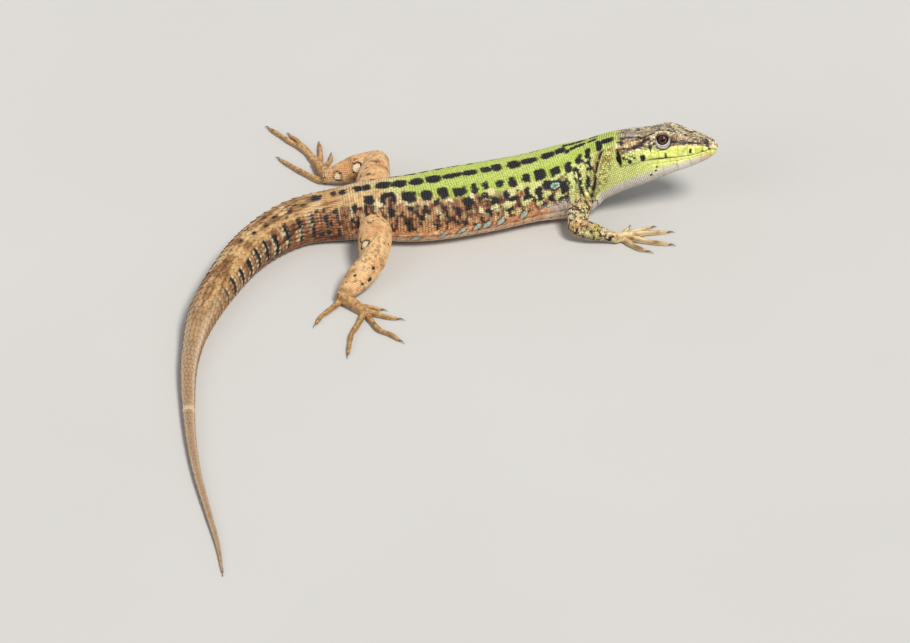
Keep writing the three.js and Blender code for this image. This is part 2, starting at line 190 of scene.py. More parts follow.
def dot(a, b):  # row by row
    return np.einsum("ij,ij->i", a, b)


def bodyPlace(points):  # distance, signed angle and share of the outline's radius of each point
    coarse = np.arange(0, len(spineAt), 8)
    nearest = np.empty(len(points), int)
    for start in range(0, len(points), 20000):
        chunk = points[start:start + 20000, None, :] - spineLine[None, coarse]
        nearest[start:start + 20000] = coarse[np.einsum("ijk,ijk->ij", chunk, chunk).argmin(1)]
    distance = spineAt[nearest]
    for _ in range(3):
        off = points - onSpine(spineLine, distance)
        distance = np.clip(distance + dot(off, onSpine(backLine, distance)) * 0.9, 0, bodyLength)
    off = points - onSpine(spineLine, distance)
    side, rise = dot(off, onSpine(leftLine, distance)), dot(off, onSpine(upLine, distance))
    half, tall, power = sectionAt(distance, rise > 0)
    x, y = np.abs(side) / half, np.abs(rise) / tall
    turn = np.arctan2(x ** (power / 2), y ** (power / 2))
    turn = np.where(rise > 0, turn, math.pi - turn)
    share = (x**power + y**power) ** (1 / power)
    past = np.linalg.norm(off, axis=1) > 1.6 * np.maximum(half, tall)
    return distance, np.sign(side) * turn, np.where(past, 9.0, share)


def girthAround(distance):  # length of the outline round the body
    half, rise, drop = (along(girthRows, distance, k) for k in (1, 2, 3))
    return math.pi * (half + (rise + drop) / 2)


# Legs, as in the solids
legs = {
    "hindleg_right": {
        "base": (-9.6, 31.5, 6.2), "bend": (-13.4, 18.0, 5.0), "ankle": (-21.4, 11.8, 1.7),
        "heads": (-17.9, 6.6, 0.9),
        "toes": [
            [(-18.3, 8.3), (-16.2, 8.0), (-14.4, 7.2)],
            [(-17.5, 7.0), (-14.4, 4.4), (-11.6, 3.1)],
            [(-17.6, 6.3), (-16.5, 0.2), (-14.3, -2.5), (-13.0, -4.5)],
            [(-18.1, 6.1), (-20.0, 2.8), (-22.2, -0.6), (-23.4, -4.0), (-24.4, -6.9)],
            [(-21.9, 11.4), (-24.5, 9.2), (-27.0, 7.1), (-28.4, 5.3)],
        ],
    },
    "hindleg_left": {
        "base": (-9.6, 38.0, 6.2), "bend": (-4.7, 52.8, 5.6), "ankle": (-14.8, 55.2, 1.8),
        "heads": (-15.6, 61.6, 0.9),
        "toes": [
            [(-14.6, 59.8), (-12.6, 62.3), (-11.9, 64.6)],
            [(-15.0, 61.4), (-14.0, 65.4), (-13.4, 69.2)],
            [(-15.4, 62.0), (-16.4, 67.0), (-17.6, 71.0), (-18.6, 73.8)],
            [(-15.7, 62.0), (-17.0, 67.4), (-19.3, 71.4), (-21.0, 74.6), (-22.3, 77.3)],
            [(-16.0, 55.2), (-18.2, 58.2), (-20.6, 61.8), (-22.6, 65.6)],
        ],
    },
    "foreleg_right": {
        "base": (34.6, 31.0, 8.2), "bend": (31.4, 23.0, 3.4), "ankle": (39.2, 20.3, 1.4),
        "heads": (42.0, 21.1, 0.8),
        "toes": [
            [(41.4, 21.9), (43.0, 24.4)],
            [(42.0, 21.7), (45.0, 22.7), (47.4, 23.5)],
            [(42.3, 21.3), (46.6, 21.5), (50.5, 21.2)],
            [(42.1, 20.7), (45.6, 18.5), (49.7, 16.8)],
            [(41.0, 20.1), (42.8, 17.0), (44.7, 15.5)],
        ],
    },
}
trunkLine = 33.4  # the left fore leg mirrors the right one across this line


def mirroredLeg(leg):
    def flip(p):
        return (p[0], 2 * trunkLine - p[1], *p[2:])
    made = {key: flip(leg[key]) for key in ("base", "bend", "ankle", "heads")}
    made["toes"] = [[flip(p) for p in path] for path in leg["toes"]]
    return made


legs["foreleg_left"] = mirroredLeg(legs["foreleg_right"])
legRadii = {
    "hindleg": {"upper": [(0, 3.3), (0.5, 3.6), (1, 2.7)],
                "lower": [(0, 2.6), (0.4, 2.85), (0.75, 2.2), (1, 1.45)], "sole": [(0, 1.4), (1, 1.15)]},
    "foreleg": {"upper": [(0, 2.6), (0.5, 2.5), (1, 1.9)],
                "lower": [(0, 1.9), (0.35, 2.0), (0.8, 1.3), (1, 1.1)], "sole": [(0, 1.15), (1, 1.0)]},
}
toeSize = {"root": 0.62, "tip": 0.36, "knuckle": 0.16, "rootUp": 0.85, "midUp": 0.68, "tipUp": 0.4}
clawSize = {"long": 1.35, "thick": 0.29, "arch": 0.22, "rings": 12, "around": 12}
limbCoat = {"limb": 0.13, "toe": 0.08}  # the skin lies this far inside the solids


def makeLimb(kind, part, owner, points, radii, knuckles=0):
    points = np.array(points, float)
    points[:, :2] += np.array(body["standAt"])
    at, line = smoothCurve(points, 0.12)
    share = at / at[-1]
    radius = along(radii, share)
    if knuckles:
        radius = radius * (1 + toeSize["knuckle"] * np.sin(share * knuckles * math.pi) ** 2)
    radius = radius - limbCoat["toe" if part == "toe" else "limb"]
    tangent = unit(np.gradient(line, axis=0))
    top = unit(np.array([0, 0, 1.0]) - tangent * tangent[:, 2:3])
    return {"kind": kind, "part": part, "owner": owner, "at": at, "share": share, "line": line,
            "radius": radius, "tangent": tangent, "top": top, "side": np.cross(tangent, top)}


def toePath(path):
    heights = [toeSize["rootUp"]] + [toeSize["midUp"]] * (len(path) - 2) + [toeSize["tipUp"]]
    return [(x, y, z) for (x, y), z in zip(path, heights)]


def limbsOf(owner, leg):
    kind = owner.split("_")[0]
    made = []
    for part, a, b in (("upper", "base", "bend"), ("lower", "bend", "ankle"), ("sole", "ankle", "heads")):
        middle = (np.array(leg[a]) + np.array(leg[b])) / 2
        made.append(makeLimb(kind, part, owner, [leg[a], middle, leg[b]], legRadii[kind][part]))
    for path in leg["toes"]:
        radii = [(0, toeSize["root"]), (1, toeSize["tip"])]
        made.append(makeLimb(kind, "toe", owner, toePath(path), radii, len(path) - 1))
    return made


limbs = [limb for owner in sorted(legs) for limb in limbsOf(owner, legs[owner])]


def limbPoint(limb, at, angle):  # angle 0 is the top of the limb
    def pick(key):
        return np.stack([np.interp(at, limb["at"], limb[key][:, k]) for k in range(3)], -1)
    out = pick("top") * np.cos(angle)[..., None] + pick("side") * np.sin(angle)[..., None]
    return pick("line") + out * np.interp(at, limb["at"], limb["radius"])[..., None]


limbReach = 4.5  # no point of a limb's skin is further from its line


def limbPlace(points):  # for each point: the limb it lies on, how far along, the angle, share of the radius
    which = np.zeros(len(points), int)
    share, angle, best = np.zeros(len(points)), np.zeros(len(points)), np.full(len(points), 99.0)
    for index, limb in enumerate(limbs):
        low, high = limb["line"].min(0) - limbReach, limb["line"].max(0) + limbReach
        near = np.nonzero(((points > low) & (points < high)).all(1))[0]
        if not len(near):
            continue
        off = points[near, None, :] - limb["line"][None, ::3]
        close = np.einsum("ijk,ijk->ij", off, off).argmin(1) * 3
        off = points[near] - limb["line"][close]
        ratio = np.linalg.norm(off, axis=1) / limb["radius"][close]
        better = ratio < best[near]
        rows, off, close = near[better], off[better], close[better]
        best[rows], which[rows], share[rows] = ratio[better], index, limb["share"][close]
        angle[rows] = np.arctan2(dot(off, limb["side"][close]), dot(off, limb["top"][close]))
    return which, share, angle, best


# Colours and markings, shared by skin and scales
def tone(red, green, blue):  # a colour as an eye reads it, turned into light
    c = np.array([red, green, blue]) / 255
    return np.where(c <= 0.04045, c / 12.92, ((c + 0.055) / 1.055) ** 2.4)


colours = {
    "green": tone(170, 186, 76), "greenPale": tone(206, 212, 130), "greenDeep": tone(122, 142, 42),
    "black": tone(22, 18, 20), "rust": tone(166, 98, 54), "rustDeep": tone(72, 38, 22),
    "orange": tone(206, 142, 88), "ochre": tone(182, 140, 74), "cream": tone(228, 212, 166),
    "bone": tone(234, 210, 178), "sand": tone(204, 166, 110), "sandDeep": tone(146, 102, 58),
    "thigh": tone(222, 180, 128), "blue": tone(166, 184, 168), "bellyWhite": tone(222, 206, 186),
    "lip": tone(198, 203, 84), "lipPale": tone(222, 225, 150), "lilac": tone(212, 202, 198),
    "crown": tone(160, 134, 102), "crownPale": tone(226, 210, 174), "crownDark": tone(48, 37, 33),
    "temple": tone(188, 140, 88), "loreal": tone(160, 128, 94), "ocellus": tone(104, 150, 108),
    "regrown": tone(168, 140, 110), "regrownPale": tone(208, 190, 164), "lid": tone(250, 246, 236),
    "iris": tone(66, 38, 32), "irisRing": tone(150, 92, 58), "pupil": tone(6, 6, 9),
}
# Marks on one side: distance behind the snout, degrees from the crown, half length, half height
marks = {
    "chain": [(79.1, 0, 0.7, 0.8), (76.1, 0, 0.8, 0.96), (74.4, 0, 0.75, 0.96), (71, 0, 1.57, 1.09),
              (67.7, 0, 1.57, 1.09), (64.2, 0, 1.34, 0.96), (60.6, 0, 1.57, 1.09),
              (56.5, 0, 2.24, 0.64), (52.5, 0, 1.57, 0.77),
              (49, 0, 1.12, 0.77), (46.6, 0, 1.12, 1.09), (42.8, 0, 1.34, 1.22), (39.3, 0, 2.02, 0.77),
              (34.9, 0, 1.51, 0.96), (31.9, 3, 1.2, 0.6), (30.4, 11, 0.85, 0.62), (27.7, 8, 1.8, 0.58),
              (24.3, 8, 0.95, 0.5), (23.2, 33, 0.6, 1.7), (21.2, 27, 1.4, 0.86)],
    "block": [(73.8, 33, 1.2, 1.2), (69.9, 33, 1.6, 1.55), (66.1, 31, 1.46, 1.4), (62.8, 31, 1.12, 1.24),
              (59.5, 32, 1.06, 1.51), (56.2, 33, 1.51, 1.03), (52.8, 33, 0.73, 1.51), (50.3, 33, 0.78, 0.86),
              (47.3, 33, 1.01, 1.03), (44.4, 37, 0.9, 1.3), (41.2, 36, 0.73, 1.13), (38.1, 35, 1.34, 1.4),
              (34.6, 39, 1.18, 1.13), (31.5, 43, 0.9, 1.51), (28.3, 43, 1.1, 1.2), (25.9, 40, 0.66, 1.2)],
    "flankBlack": [(66, 53, 0.6, 0.55), (66.5, 82, 0.55, 0.5), (61.2, 47, 0.7, 0.8), (61.5, 90, 0.4, 0.8),
                   (59.5, 67, 0.35, 0.8), (57.2, 66, 0.5, 0.7), (55, 57, 0.8, 1.5), (50.8, 49, 0.7, 0.65),
                   (49.2, 61, 0.8, 0.95), (46.5, 56, 0.6, 1.0), (45, 66, 0.9, 0.5), (41.8, 62, 0.65, 1.4),
                   (42.2, 71, 0.9, 0.5), (39, 70, 0.75, 1.35), (37, 84, 0.45, 0.8), (50.8, 76, 0.65, 0.55),
                   (46, 84, 0.8, 0.6), (36.9, 58, 1.3, 1.1), (33.8, 74, 0.95, 1.6), (33.5, 96, 0.5, 0.8),
                   (35, 93, 0.8, 0.35), (64, 72, 0.35, 0.6), (69.2, 60, 0.5, 0.9), (70.5, 84, 0.4, 0.6),
                   (63.4, 56, 0.4, 0.8), (31, 92, 0.5, 1.2), (29.9, 101, 0.4, 1.5), (29.5, 63, 0.5, 1.3),
                   (30.8, 77, 0.45, 1.2), (74.6, 56, 0.5, 0.9),
                   (72.6, 70, 0.5, 0.8), (77.3, 47, 0.45, 1.1), (77.8, 74, 0.5, 0.7), (38.4, 92, 0.5, 0.4)],
    "flankPale": [(49.5, 44, 0.9, 0.75), (45, 54, 0.9, 0.75), (42.8, 48, 0.95, 0.65), (39.5, 52, 0.95, 0.55),
                  (40.5, 61, 0.65, 1.2), (38.2, 64, 0.5, 0.5), (37.5, 75, 0.75, 0.9), (35.2, 51, 0.95, 0.6),
                  (35, 86, 1.2, 0.75), (32.2, 92, 0.8, 1.1), (46, 73, 1.2, 0.55), (42.2, 79, 0.95, 0.45),
                  (39.5, 86, 0.8, 0.5), (49.2, 72, 1.0, 0.45), (52, 74, 0.5, 0.5), (58.3, 47, 0.45, 0.6),
                  (53.8, 45, 0.55, 0.7), (66.8, 45, 0.5, 0.5), (61.6, 44, 0.4, 0.45), (71.8, 44, 0.5, 0.8)],
    "ventralBlue": [(65.2, 118.5), (60.3, 111.5), (56.6, 107), (53.3, 104), (51.1, 103), (48.2, 101.5),
                    (43.2, 101)],
    "tailDash": [(79.1, 0, 0.85, 0.85), (81.1, 0, 0.7, 0.75), (85, 1, 1.25, 0.9), (88.5, 12, 0.8, 0.42),
                 (90.2, 3, 0.6, 0.35), (92.2, -4, 0.65, 0.32), (92.2, 15, 0.7, 0.4), (95.8, 5, 0.85, 0.4),
                 (94, 26, 0.5, 0.28), (99, 11, 0.75, 0.38), (102.5, 6, 0.75, 0.34), (106.2, -6, 0.7, 0.32),
                 (109.8, -13, 0.7, 0.3), (113.5, -7, 0.6, 0.28), (118, 3, 0.6, 0.28), (121.8, -2, 0.5, 0.25),
                 (115, -29, 0.5, 0.3), (89.6, -22, 0.7, 0.38), (97.4, -16, 0.7, 0.32), (102, -22, 0.6, 0.3)],
    "tailBase": [(85.8, 39, 0.6, 0.45), (84, 42, 0.45, 0.6), (84, 63, 0.4, 0.75), (81.5, 49, 0.45, 0.65),
                 (79.2, 40, 0.6, 0.6), (79, 61, 0.4, 0.8), (90.8, 55, 0.35, 0.5), (88.2, 60, 0.35, 0.6),
                 (85.2, 101, 0.8, 0.35), (83.2, 96, 0.6, 0.4), (80.6, 78, 0.35, 0.6), (82.6, 76, 0.35, 0.7)],
    # on the head the last number is in degrees as well
    "head": [(12.8, 73, 0.6, 5.6), (12.85, 80, 0.14, 3.0), (14.8, 88, 0.55, 3.2), (9.8, 91.5, 0.3, 2.6),
             (4.8, 91, 0.24, 4.0), (18.8, 82, 0.28, 2.6), (18.2, 86, 0.4, 1.8), (17.1, 83, 0.6, 1.5),
             (17.7, 89, 0.5, 1.4), (16.4, 86, 0.4, 1.3), (12.2, 109, 0.28, 2.6), (12.6, 118, 0.3, 2.6),
             (14, 129, 0.34, 2.6), (2.5, 93, 0.3, 3.0), (1.6, 78, 0.34, 4.0), (1.3, 87, 0.26, 4.0),
             (13.1, 50, 0.75, 4.0), (17.9, 32, 1.1, 2.5), (16.2, 36, 1.2, 2.5), (14.3, 42, 1.0, 2.7),
             (12.0, 37, 0.8, 2.0), (3.8, 46, 0.3, 4.0), (2.9, 22, 0.35, 5.0), (5.6, 32, 0.3, 4.0),
             # on the next row, (2.1, 56) is painted shade in the nostril's pit and (19.95, 77) painted shade
             # in the ear's opening
             (2.1, 56, 0.3, 7.0), (19.95, 77, 0.3, 15.0), (8.4, 28, 0.4, 3.0), (10.6, 27, 0.45, 3.0),
             (16.6, 14, 0.9, 1.5), (14.2, 16, 0.8, 1.6), (12.2, 10, 0.6, 1.6), (19.2, 44, 0.5, 3.0)],
    "headPale": [(14.8, 4, 0.5, 1.6), (13.7, 2, 0.5, 1.2), (16.8, 5, 0.5, 2.2), (9.4, 18, 0.4, 2.6),
                 (8.2, 14, 0.4, 2.6), (6.5, 31, 0.45, 2.4), (4.0, 18, 0.4, 2.6), (11.5, 41, 0.7, 1.4),
                 (9.2, 33, 0.5, 1.4), (19.8, 53, 0.4, 5.0), (15.2, 30, 0.7, 1.6), (12.6, 24, 0.5, 2.0),
                 (0.5, 66, 0.6, 16)],
}
paintPlan = {
    "stripe": 0.52, "markWave": 0.45, "markGrain": 0.5, "flankGrow": 1.04,
    "waves": [(1.2, 4), (0.5, 9), (0.55, 10), (1.1, 5)],  # size and seed of the marks' ragged edges
    "leftShift": 1.15, "leftTurn": 7.0,  # how far the left side's marks are moved
    # half width, then degrees and distance of the two black lines before the shoulder
    "shoulderLines": [(0.6, [(35, 25.6), (64, 26.5), (88, 27.8), (129, 28.8)]),
                      (0.5, [(60, 28.9), (87, 30.0), (114, 30.7)])],
}


def mixIn(base, colour, amount):  # colours as names or as values
    base, colour = (colours[x] if isinstance(x, str) else x for x in (base, colour))
    return base + (colour - base) * np.clip(amount, 0, 1)[:, None]


def layers(base, *coats):  # colours laid one over another, each with its amount at every point
    for colour, amount in coats:
        base = mixIn(base, colour, amount)
    return base


def blot(distance, arc, at, arcAt, halfLong, halfHigh, soft=0.13):  # 1 inside a rounded blotch
    reach = (np.abs((distance - at) / halfLong) ** 3 + np.abs((arc - arcAt) / halfHigh) ** 3) ** (1 / 3)
    return 1 - ease(reach, 1 - soft, 1 + soft)


def blots(distance, degrees, toArc, key, soft=0.13, grow=1.0):  # one kind of mark, high along the outline
    found = np.zeros(len(distance))
    for at, turn, halfLong, halfHigh in marks[key]:
        near = np.nonzero(np.abs(distance - at) < halfLong * grow * 1.3)[0]
        mark = blot(distance[near], degrees[near] * toArc[near], at, turn * toArc[near], halfLong * grow,
                    halfHigh * grow, soft)
        found[near] = np.maximum(found[near], mark)
    return found


def neckFoldAt(degrees):  # where the fold before the shoulder lies, further back lower down
    return 22.4 + (degrees - 50) * 0.086


def paintTrunk(distance, angle, spot):
    c, plan = colours, paintPlan
    leftSide = angle > 0.02  # the two sides aren't copies
    side = np.where(leftSide, 3.0, 0.0)
    degrees = np.abs(np.degrees(angle))
    toArc = girthAround(distance) / 360
    arc = degrees * toArc
    around = np.stack([distance, arc + side * 31, side], 1)
    wave, grain, tilt, lift = (grainNoise(around, size, seed) - 0.5 for size, seed in plan["waves"])
    dist = distance + wave * plan["markWave"] + grain * plan["markGrain"]
    dist = dist + np.where(leftSide, plan["leftShift"], 0.0) * ease(degrees, 8, 20)
    turn = degrees + (lift * plan["markWave"] + tilt * 0.45) / toArc
    turn = turn - np.where(leftSide, plan["leftTurn"], 0.0) * ease(degrees, 12, 30)
    fine, broad = grainNoise(spot, 0.5, 1), grainNoise(spot, 3.2, 2)
    column, inRow = np.floor(distance / plan["stripe"]), distance / plan["stripe"] % 1
    cell = np.stack([column * 7.31, arc / 1.5, side], 1)
    streak = grainNoise(cell, 1.0, 6)
    streak2 = grainNoise(cell * np.array([0.43, 1.6, 1]) + 9, 1.0, 7)
    rear, front = ease(distance, 62, 78), fade(distance, 40, 56)
    # back
    green = layers("green", ("greenPale", (broad - 0.25) * 0.5 + (fine - 0.5) * 0.6),
                   ("greenDeep", (fine - 0.5) * 1.2), ("greenPale", hump(turn, 14, 9) * 0.35))
    sand = layers("sand", ("cream", broad * 0.8), ("sandDeep", (fine - 0.45) * 1.4))
    sandy = ease(degrees + rear * 44, 24, 46) * ease(distance, 54, 66)
    back = mixIn(green, sand, np.maximum(rear, sandy))
    # flank, striped one row of scales at a time
    level = (streak - 0.5) * 1.7 + (streak2 - 0.5) * 0.5 + 0.5
    thin = hump(inRow, 0.55, 0.2) * (streak2 > 0.28)
    flank = layers("rust", ("rustDeep", (0.38 - level) * 4), ("orange", (level - 0.5) * 5),
                   ("cream", (level - 0.92) * 6), ("cream", thin * 0.7 * (level > 0.25)),
                   ("rustDeep", hump(inRow, 0, 0.16) * 0.55))
    flank = flank * (1 - 0.28 * ease(distance, 40, 46) * fade(degrees, 82, 98))[:, None]
    umber = fade(distance, 54, 60) * fade(degrees, 78, 90)
    shoulder = fade(distance, 31.5, 35.5) * fade(degrees, 112, 122)
    flank = layers(flank, ("orange", ease(degrees, 80, 96) * 0.45 * (level > 0.3)),
                   (c["rustDeep"] * 1.5, umber * (0.75 - 0.5 * (level > 0.62))),
                   ("greenPale", np.maximum(shoulder, front * fade(degrees, 50, 60) * 0.8)))
    edge = ease(turn + (streak - 0.5) * 8, 41 - 3 * rear, 47 - 3 * rear)
    # behind the listed marks, small random ones between the rows
    loose = grainNoise(np.stack([column * 3.3, arc / 1.15, side + 4], 1), 1.0, 12)
    area = ease(degrees, 48, 54) * fade(degrees, 92, 106)
    pale = mixIn("cream", "greenPale", front * 0.8) * 0.9
    out = layers(mixIn(back, flank, edge),
                 (pale, (0.27 - loose) * 9 * area * (1 - 0.9 * ease(distance, 44, 52))),
                 (c["rustDeep"] * 0.7, (loose - 0.62) * 7 * area * (1 - 0.5 * ease(distance, 53, 58))),
                 ("black", (loose - 0.72) * 9 * area * (1 - 0.3 * ease(distance, 56, 66))),
                 (pale, blots(dist, turn, toArc, "flankPale", grow=plan["flankGrow"]) * 1.1),
                 ("black", blots(dist, turn, toArc, "flankBlack", grow=plan["flankGrow"]) * 1.1))
    # one bold row down the flank's top and one down the middle of the back
    lilac = blot(distance, arc, 36.4, 106 * toArc, 3.6, 1.5, 0.4)
    arch = blot(dist, turn * toArc, 69.7, 40.5 * toArc, 0.62, 1.05)
    spine = blots(distance + wave * 0.5 + grain * 0.3, degrees + grain * 2.5, toArc, "chain", grow=1.06)
    ocellus = np.hypot((distance - 35.5) / 1.0, (degrees - 64) * toArc / 0.72)
    # before the shoulder: ochre along the fold, then two ragged black lines with green between
    tall = ease(degrees, 46, 54) * fade(degrees, 122, 132)
    ragged = grainNoise(around, 0.8, 14)
    past = distance - neckFoldAt(degrees) + wave * 0.7
    coats = [(c["lilac"] * 0.8, lilac * 0.6), ("black", blots(dist, turn, toArc, "block") * 1.1),
             (flank, arch * 0.9), ("black", spine), ("black", fade(ocellus, 1.5, 1.75)),
             ("blue", fade(ocellus, 0.92, 1.08)), (c["ocellus"] * 0.8, fade(ocellus, 0.5, 0.7)),
             (c["ochre"] * 0.8, hump(past, 0.65, 0.6) * tall * (0.35 + 0.6 * (fine > 0.45))),
             ("lipPale", hump(past, -0.55, 0.42) * ease(degrees, 66, 74) * tall),
             ("black", hump(past, 0.08, 0.46) * tall * ease(ragged, 0.26, 0.34) * 1.2)]
    for wide, line in plan["shoulderLines"]:
        turns, places = np.array(line).T
        off = distance - np.interp(degrees, turns, places) + wave * 0.7
        reach = ease(degrees, turns[0] + 16, turns[0] + 24) * fade(degrees, turns[-1] - 8, turns[-1] + 4)
        coats += [("greenPale", hump(off, 1.05, 0.45) * reach * 0.8),
                  (c["ochre"] * 0.8, hump(off, 1.55, 0.3) * reach * (ragged > 0.5) * 0.9),
                  ("black", bell(off / wide) * reach * (0.25 + (ragged > 0.33)) * 1.2)]
    return layers(paintOvals(out, distance, degrees), *coats)


oval = {"long": 1.05, "wide": 0.6, "lean": 52}


def paintOvals(out, distance, degrees):  # slanting blue ovals with dark edges, low on the flank
    toArc = girthAround(distance) / 360
    lean = math.radians(oval["lean"])
    for at, turn in marks["ventralBlue"]:
        off, drop = distance - at, (degrees - turn) * toArc
        beside = (drop * math.cos(lean) - off * math.sin(lean)) / oval["wide"]
        reach = np.hypot((off * math.cos(lean) + drop * math.sin(lean)) / oval["long"], beside)
        rim = hump(reach, 1.28, 0.26) * ease(np.abs(beside), 0.5, 0.8)
        out = layers(out, (colours["rustDeep"] * 0.5, rim), (colours["blue"] * 0.95, fade(reach, 0.9, 1.08)))
    return out


def paintBelly(distance, angle, spot):
    degrees = np.abs(np.degrees(angle))
    broad, fine = grainNoise(spot, 4.0, 40), grainNoise(spot, 0.6, 41)
    base = mixIn("bellyWhite", "orange", 0.25 + 0.5 * (broad - 0.5))
    warm = layers("orange", ("rust", (fine - 0.4) * 2), ("cream", (0.36 - fine) * 4))
    outer = fade(degrees, 124, 140) * ease(distance, 35, 40)
    base = mixIn(base, warm, outer * (0.95 - 0.4 * ease(degrees, 112, 118)))
    return paintOvals(base, distance, degrees)


def mouthLine(distance):  # degrees from the crown to the edge of the mouth
    return along(mouth["line"], distance)


def paintHead(distance, angle, spot):
    c = colours
    degrees = np.abs(np.degrees(angle))
    fine, mid, tiny = (grainNoise(spot, size, seed) for size, seed in ((0.34, 50), (0.8, 51), (0.24, 52)))
    nape = mixIn("green", "greenPale", mid)
    crown = layers("crown", ("crownPale", (mid - 0.48) * 4.5), ("crownDark", (0.43 - fine) * 11),
                   ("cream", (tiny - 0.62) * 10 * (mid > 0.35)),
                   (c["lilac"] * 0.62, hump(distance, 17, 1.5) * hump(degrees, 22, 14) * 0.75),
                   (nape, ease(distance + (mid - 0.5) * 1.3, 18.5, 20.0)))
    # lips and cheek
    lip = layers("lip", ("lipPale", (fine - 0.45) * 2 + 0.25), ("greenPale", ease(distance, 10, 16) * 0.65),
                 ("greenDeep", (tiny - 0.62) * 2.5))
    nearNose = ease(degrees, 40, 50) * fade(distance, 7.4, 8.6)
    face = layers(crown, ("loreal", nearNose * (0.55 + 0.5 * (fine > 0.42))),
                  ("crownDark", (0.4 - mid) * 7 * nearNose), ("crownPale", (tiny - 0.66) * 8 * nearNose))
    line = 79 + 3 * hump(distance, 9.6, 2) - 7 * ease(distance, 11.4, 12.6) + 3 * ease(distance, 15, 18)
    # temple: warm and flecked, between dark dashes
    warm = layers("temple", ("crown", (grainNoise(spot, 1.4, 57) - 0.4) * 2), ("cream", (tiny - 0.56) * 6),
                  ("crownDark", (0.42 - mid) * 6))
    band = ease(distance, 13.2, 13.8) * fade(distance, 19.2, 19.8)
    band = band * ease(degrees, 45, 48) * fade(degrees, 68, 71)
    dashes = blot(distance, degrees + (distance - 16.4) * 2, 16.4, 69, 3.0, 2.8)
    dashes = dashes * ((mid > 0.27) & (fine > 0.2))
    # a dark streak from the eye to the nostril, painted shade along the mouth's slit, and a thin line behind
    # it
    streak = blot(distance, degrees + mid * 5 - 2.5, 5.6, 67, 3.0, 5.0, 0.35)
    gapeShade = bell((degrees - mouthLine(distance)) / (0.9 + 1.1 * hump(distance, 10.6, 2.4)))
    gapeShade = gapeShade * fade(distance, 14.2, 15.2)
    crease = bell((degrees - 91.5 - (distance - 15) * 0.1) / 0.9) * ease(distance, 14.6, 15.6)
    out = layers(face, (lip, ease(degrees, line - 2, line + 2)), (warm, band), ("black", dashes),
                 ("crownPale", blot(distance, degrees, 16.6, 74, 2.6, 2.4) * (mid > 0.5) * 0.8),
                 (c["crownDark"] * 0.8, streak * (0.75 + fine)),
                 ("black", blot(distance, degrees, 10.1, 84.6, 0.8, 0.9, 0.4) * 0.8),
                 ("black", gapeShade * (0.45 + 0.65 * hump(distance, 10.5, 3))),
                 (c["greenDeep"] * 0.5, crease * fade(distance, 19, 20.5) * 0.7))
    # throat: brown between the grains before the fold, and ochre streaks over it
    toFold = neckFoldAt(degrees) - distance
    netted = fade(toFold, 2.4, 5.2) * ease(degrees, 62, 74) * fade(degrees, 108, 124)
    streaks = fade(toFold, 2.4, 3.4) * ease(degrees, 46, 52) * fade(degrees, 70, 80)
    whiteFrom = 111 + ease(distance, 14, 22) * 12 - 3 * ease(distance, 0, 5)
    throat = layers("lip", ("lipPale", 0.6 + (fine - 0.5) * 1.6),
                    ("greenPale", ease(distance, 12, 20) * 0.6),
                    (c["ochre"] * 0.55, ease(grainNoise(spot, 0.3, 55), 0.42, 0.54) * netted * 0.9),
                    (c["ochre"] * 0.85, ease(mid, 0.36, 0.46) * streaks * 0.8),
                    ("crownDark", ease(-grainNoise(spot, 0.3, 55), -0.36, -0.28) * streaks),
                    ("lilac", ease(degrees, whiteFrom, 129) * 0.9),
                    ("orange", fade(distance, 1.5, 4.5) * 0.4))
    out = layers(out, (throat, ease(degrees, 99, 105)),
                 (throat, ease(distance, 19.8, 20.8) * ease(degrees, 46, 56)))
    for side in (1, -1):  # painted shadow under each lower lid
        deep, wide, upward = aroundEye(spot, side)
        lidShadow = bell((wide - lidRim(upward) - 0.14) / 0.15) * fade(upward, -0.3, 0.15) * (deep > 0)
        out = mixIn(out, "black", lidShadow * 0.95)
    shade = grainNoise(spot, 0.6, 56) - 0.5
    for key, colour, soft, tilt, share in (("headPale", "cream", 0.3, 3, 0.9), ("head", "black", 0.25, 2, 1)):
        for at, turn, halfLong, halfHigh in marks[key]:
            mark = blot(distance + shade * soft, degrees + shade * tilt, at, turn, halfLong, halfHigh, soft)
            out = mixIn(out, colour, mark * share)
    return out


tailScales = {
    "from": 79.4, "baseStep": 0.65, "baseGrow": 0.1417, "step": [(126, 1.9), (150, 1.3), (218, 0.9)],
    "wide": [(79.4, 0.56), (85, 0.72), (90, 1.0), (96, 1.12), (124, 1.08), (140, 0.9), (218, 0.8)],
    "bars": [78.1, 80.4, 83.1, 86.9, 90.9, 95.1, 98.7, 102.1, 105.6, 109.2, 112.9, 116.6, 120.3, 124.1,
             128.2],
}


def ringPlaces():  # where each ring of tail scales starts, two to a bar, and how many scales it has
    t = tailScales
    bars = [at for at in t["bars"] if at > 86]
    places, step = [t["from"]], t["baseStep"]
    while places[-1] + step < bars[0] - 0.5:
        places.append(places[-1] + step)
        step += t["baseGrow"]
    for at, after in zip(bars, bars[1:]):
        places += [at, (at + after) / 2]
    at = bars[-1]
    while at < bodyLength - 0.6:
        places.append(at)
        at += float(along(t["step"], np.array(at)))
    places = np.array(places)
    wide = along(t["wide"], places)
    return places, np.maximum(8, np.rint(girthAround(places) / wide)).astype(int)


tailRings, ringCounts = ringPlaces()
tailBars = np.array(tailScales["bars"])


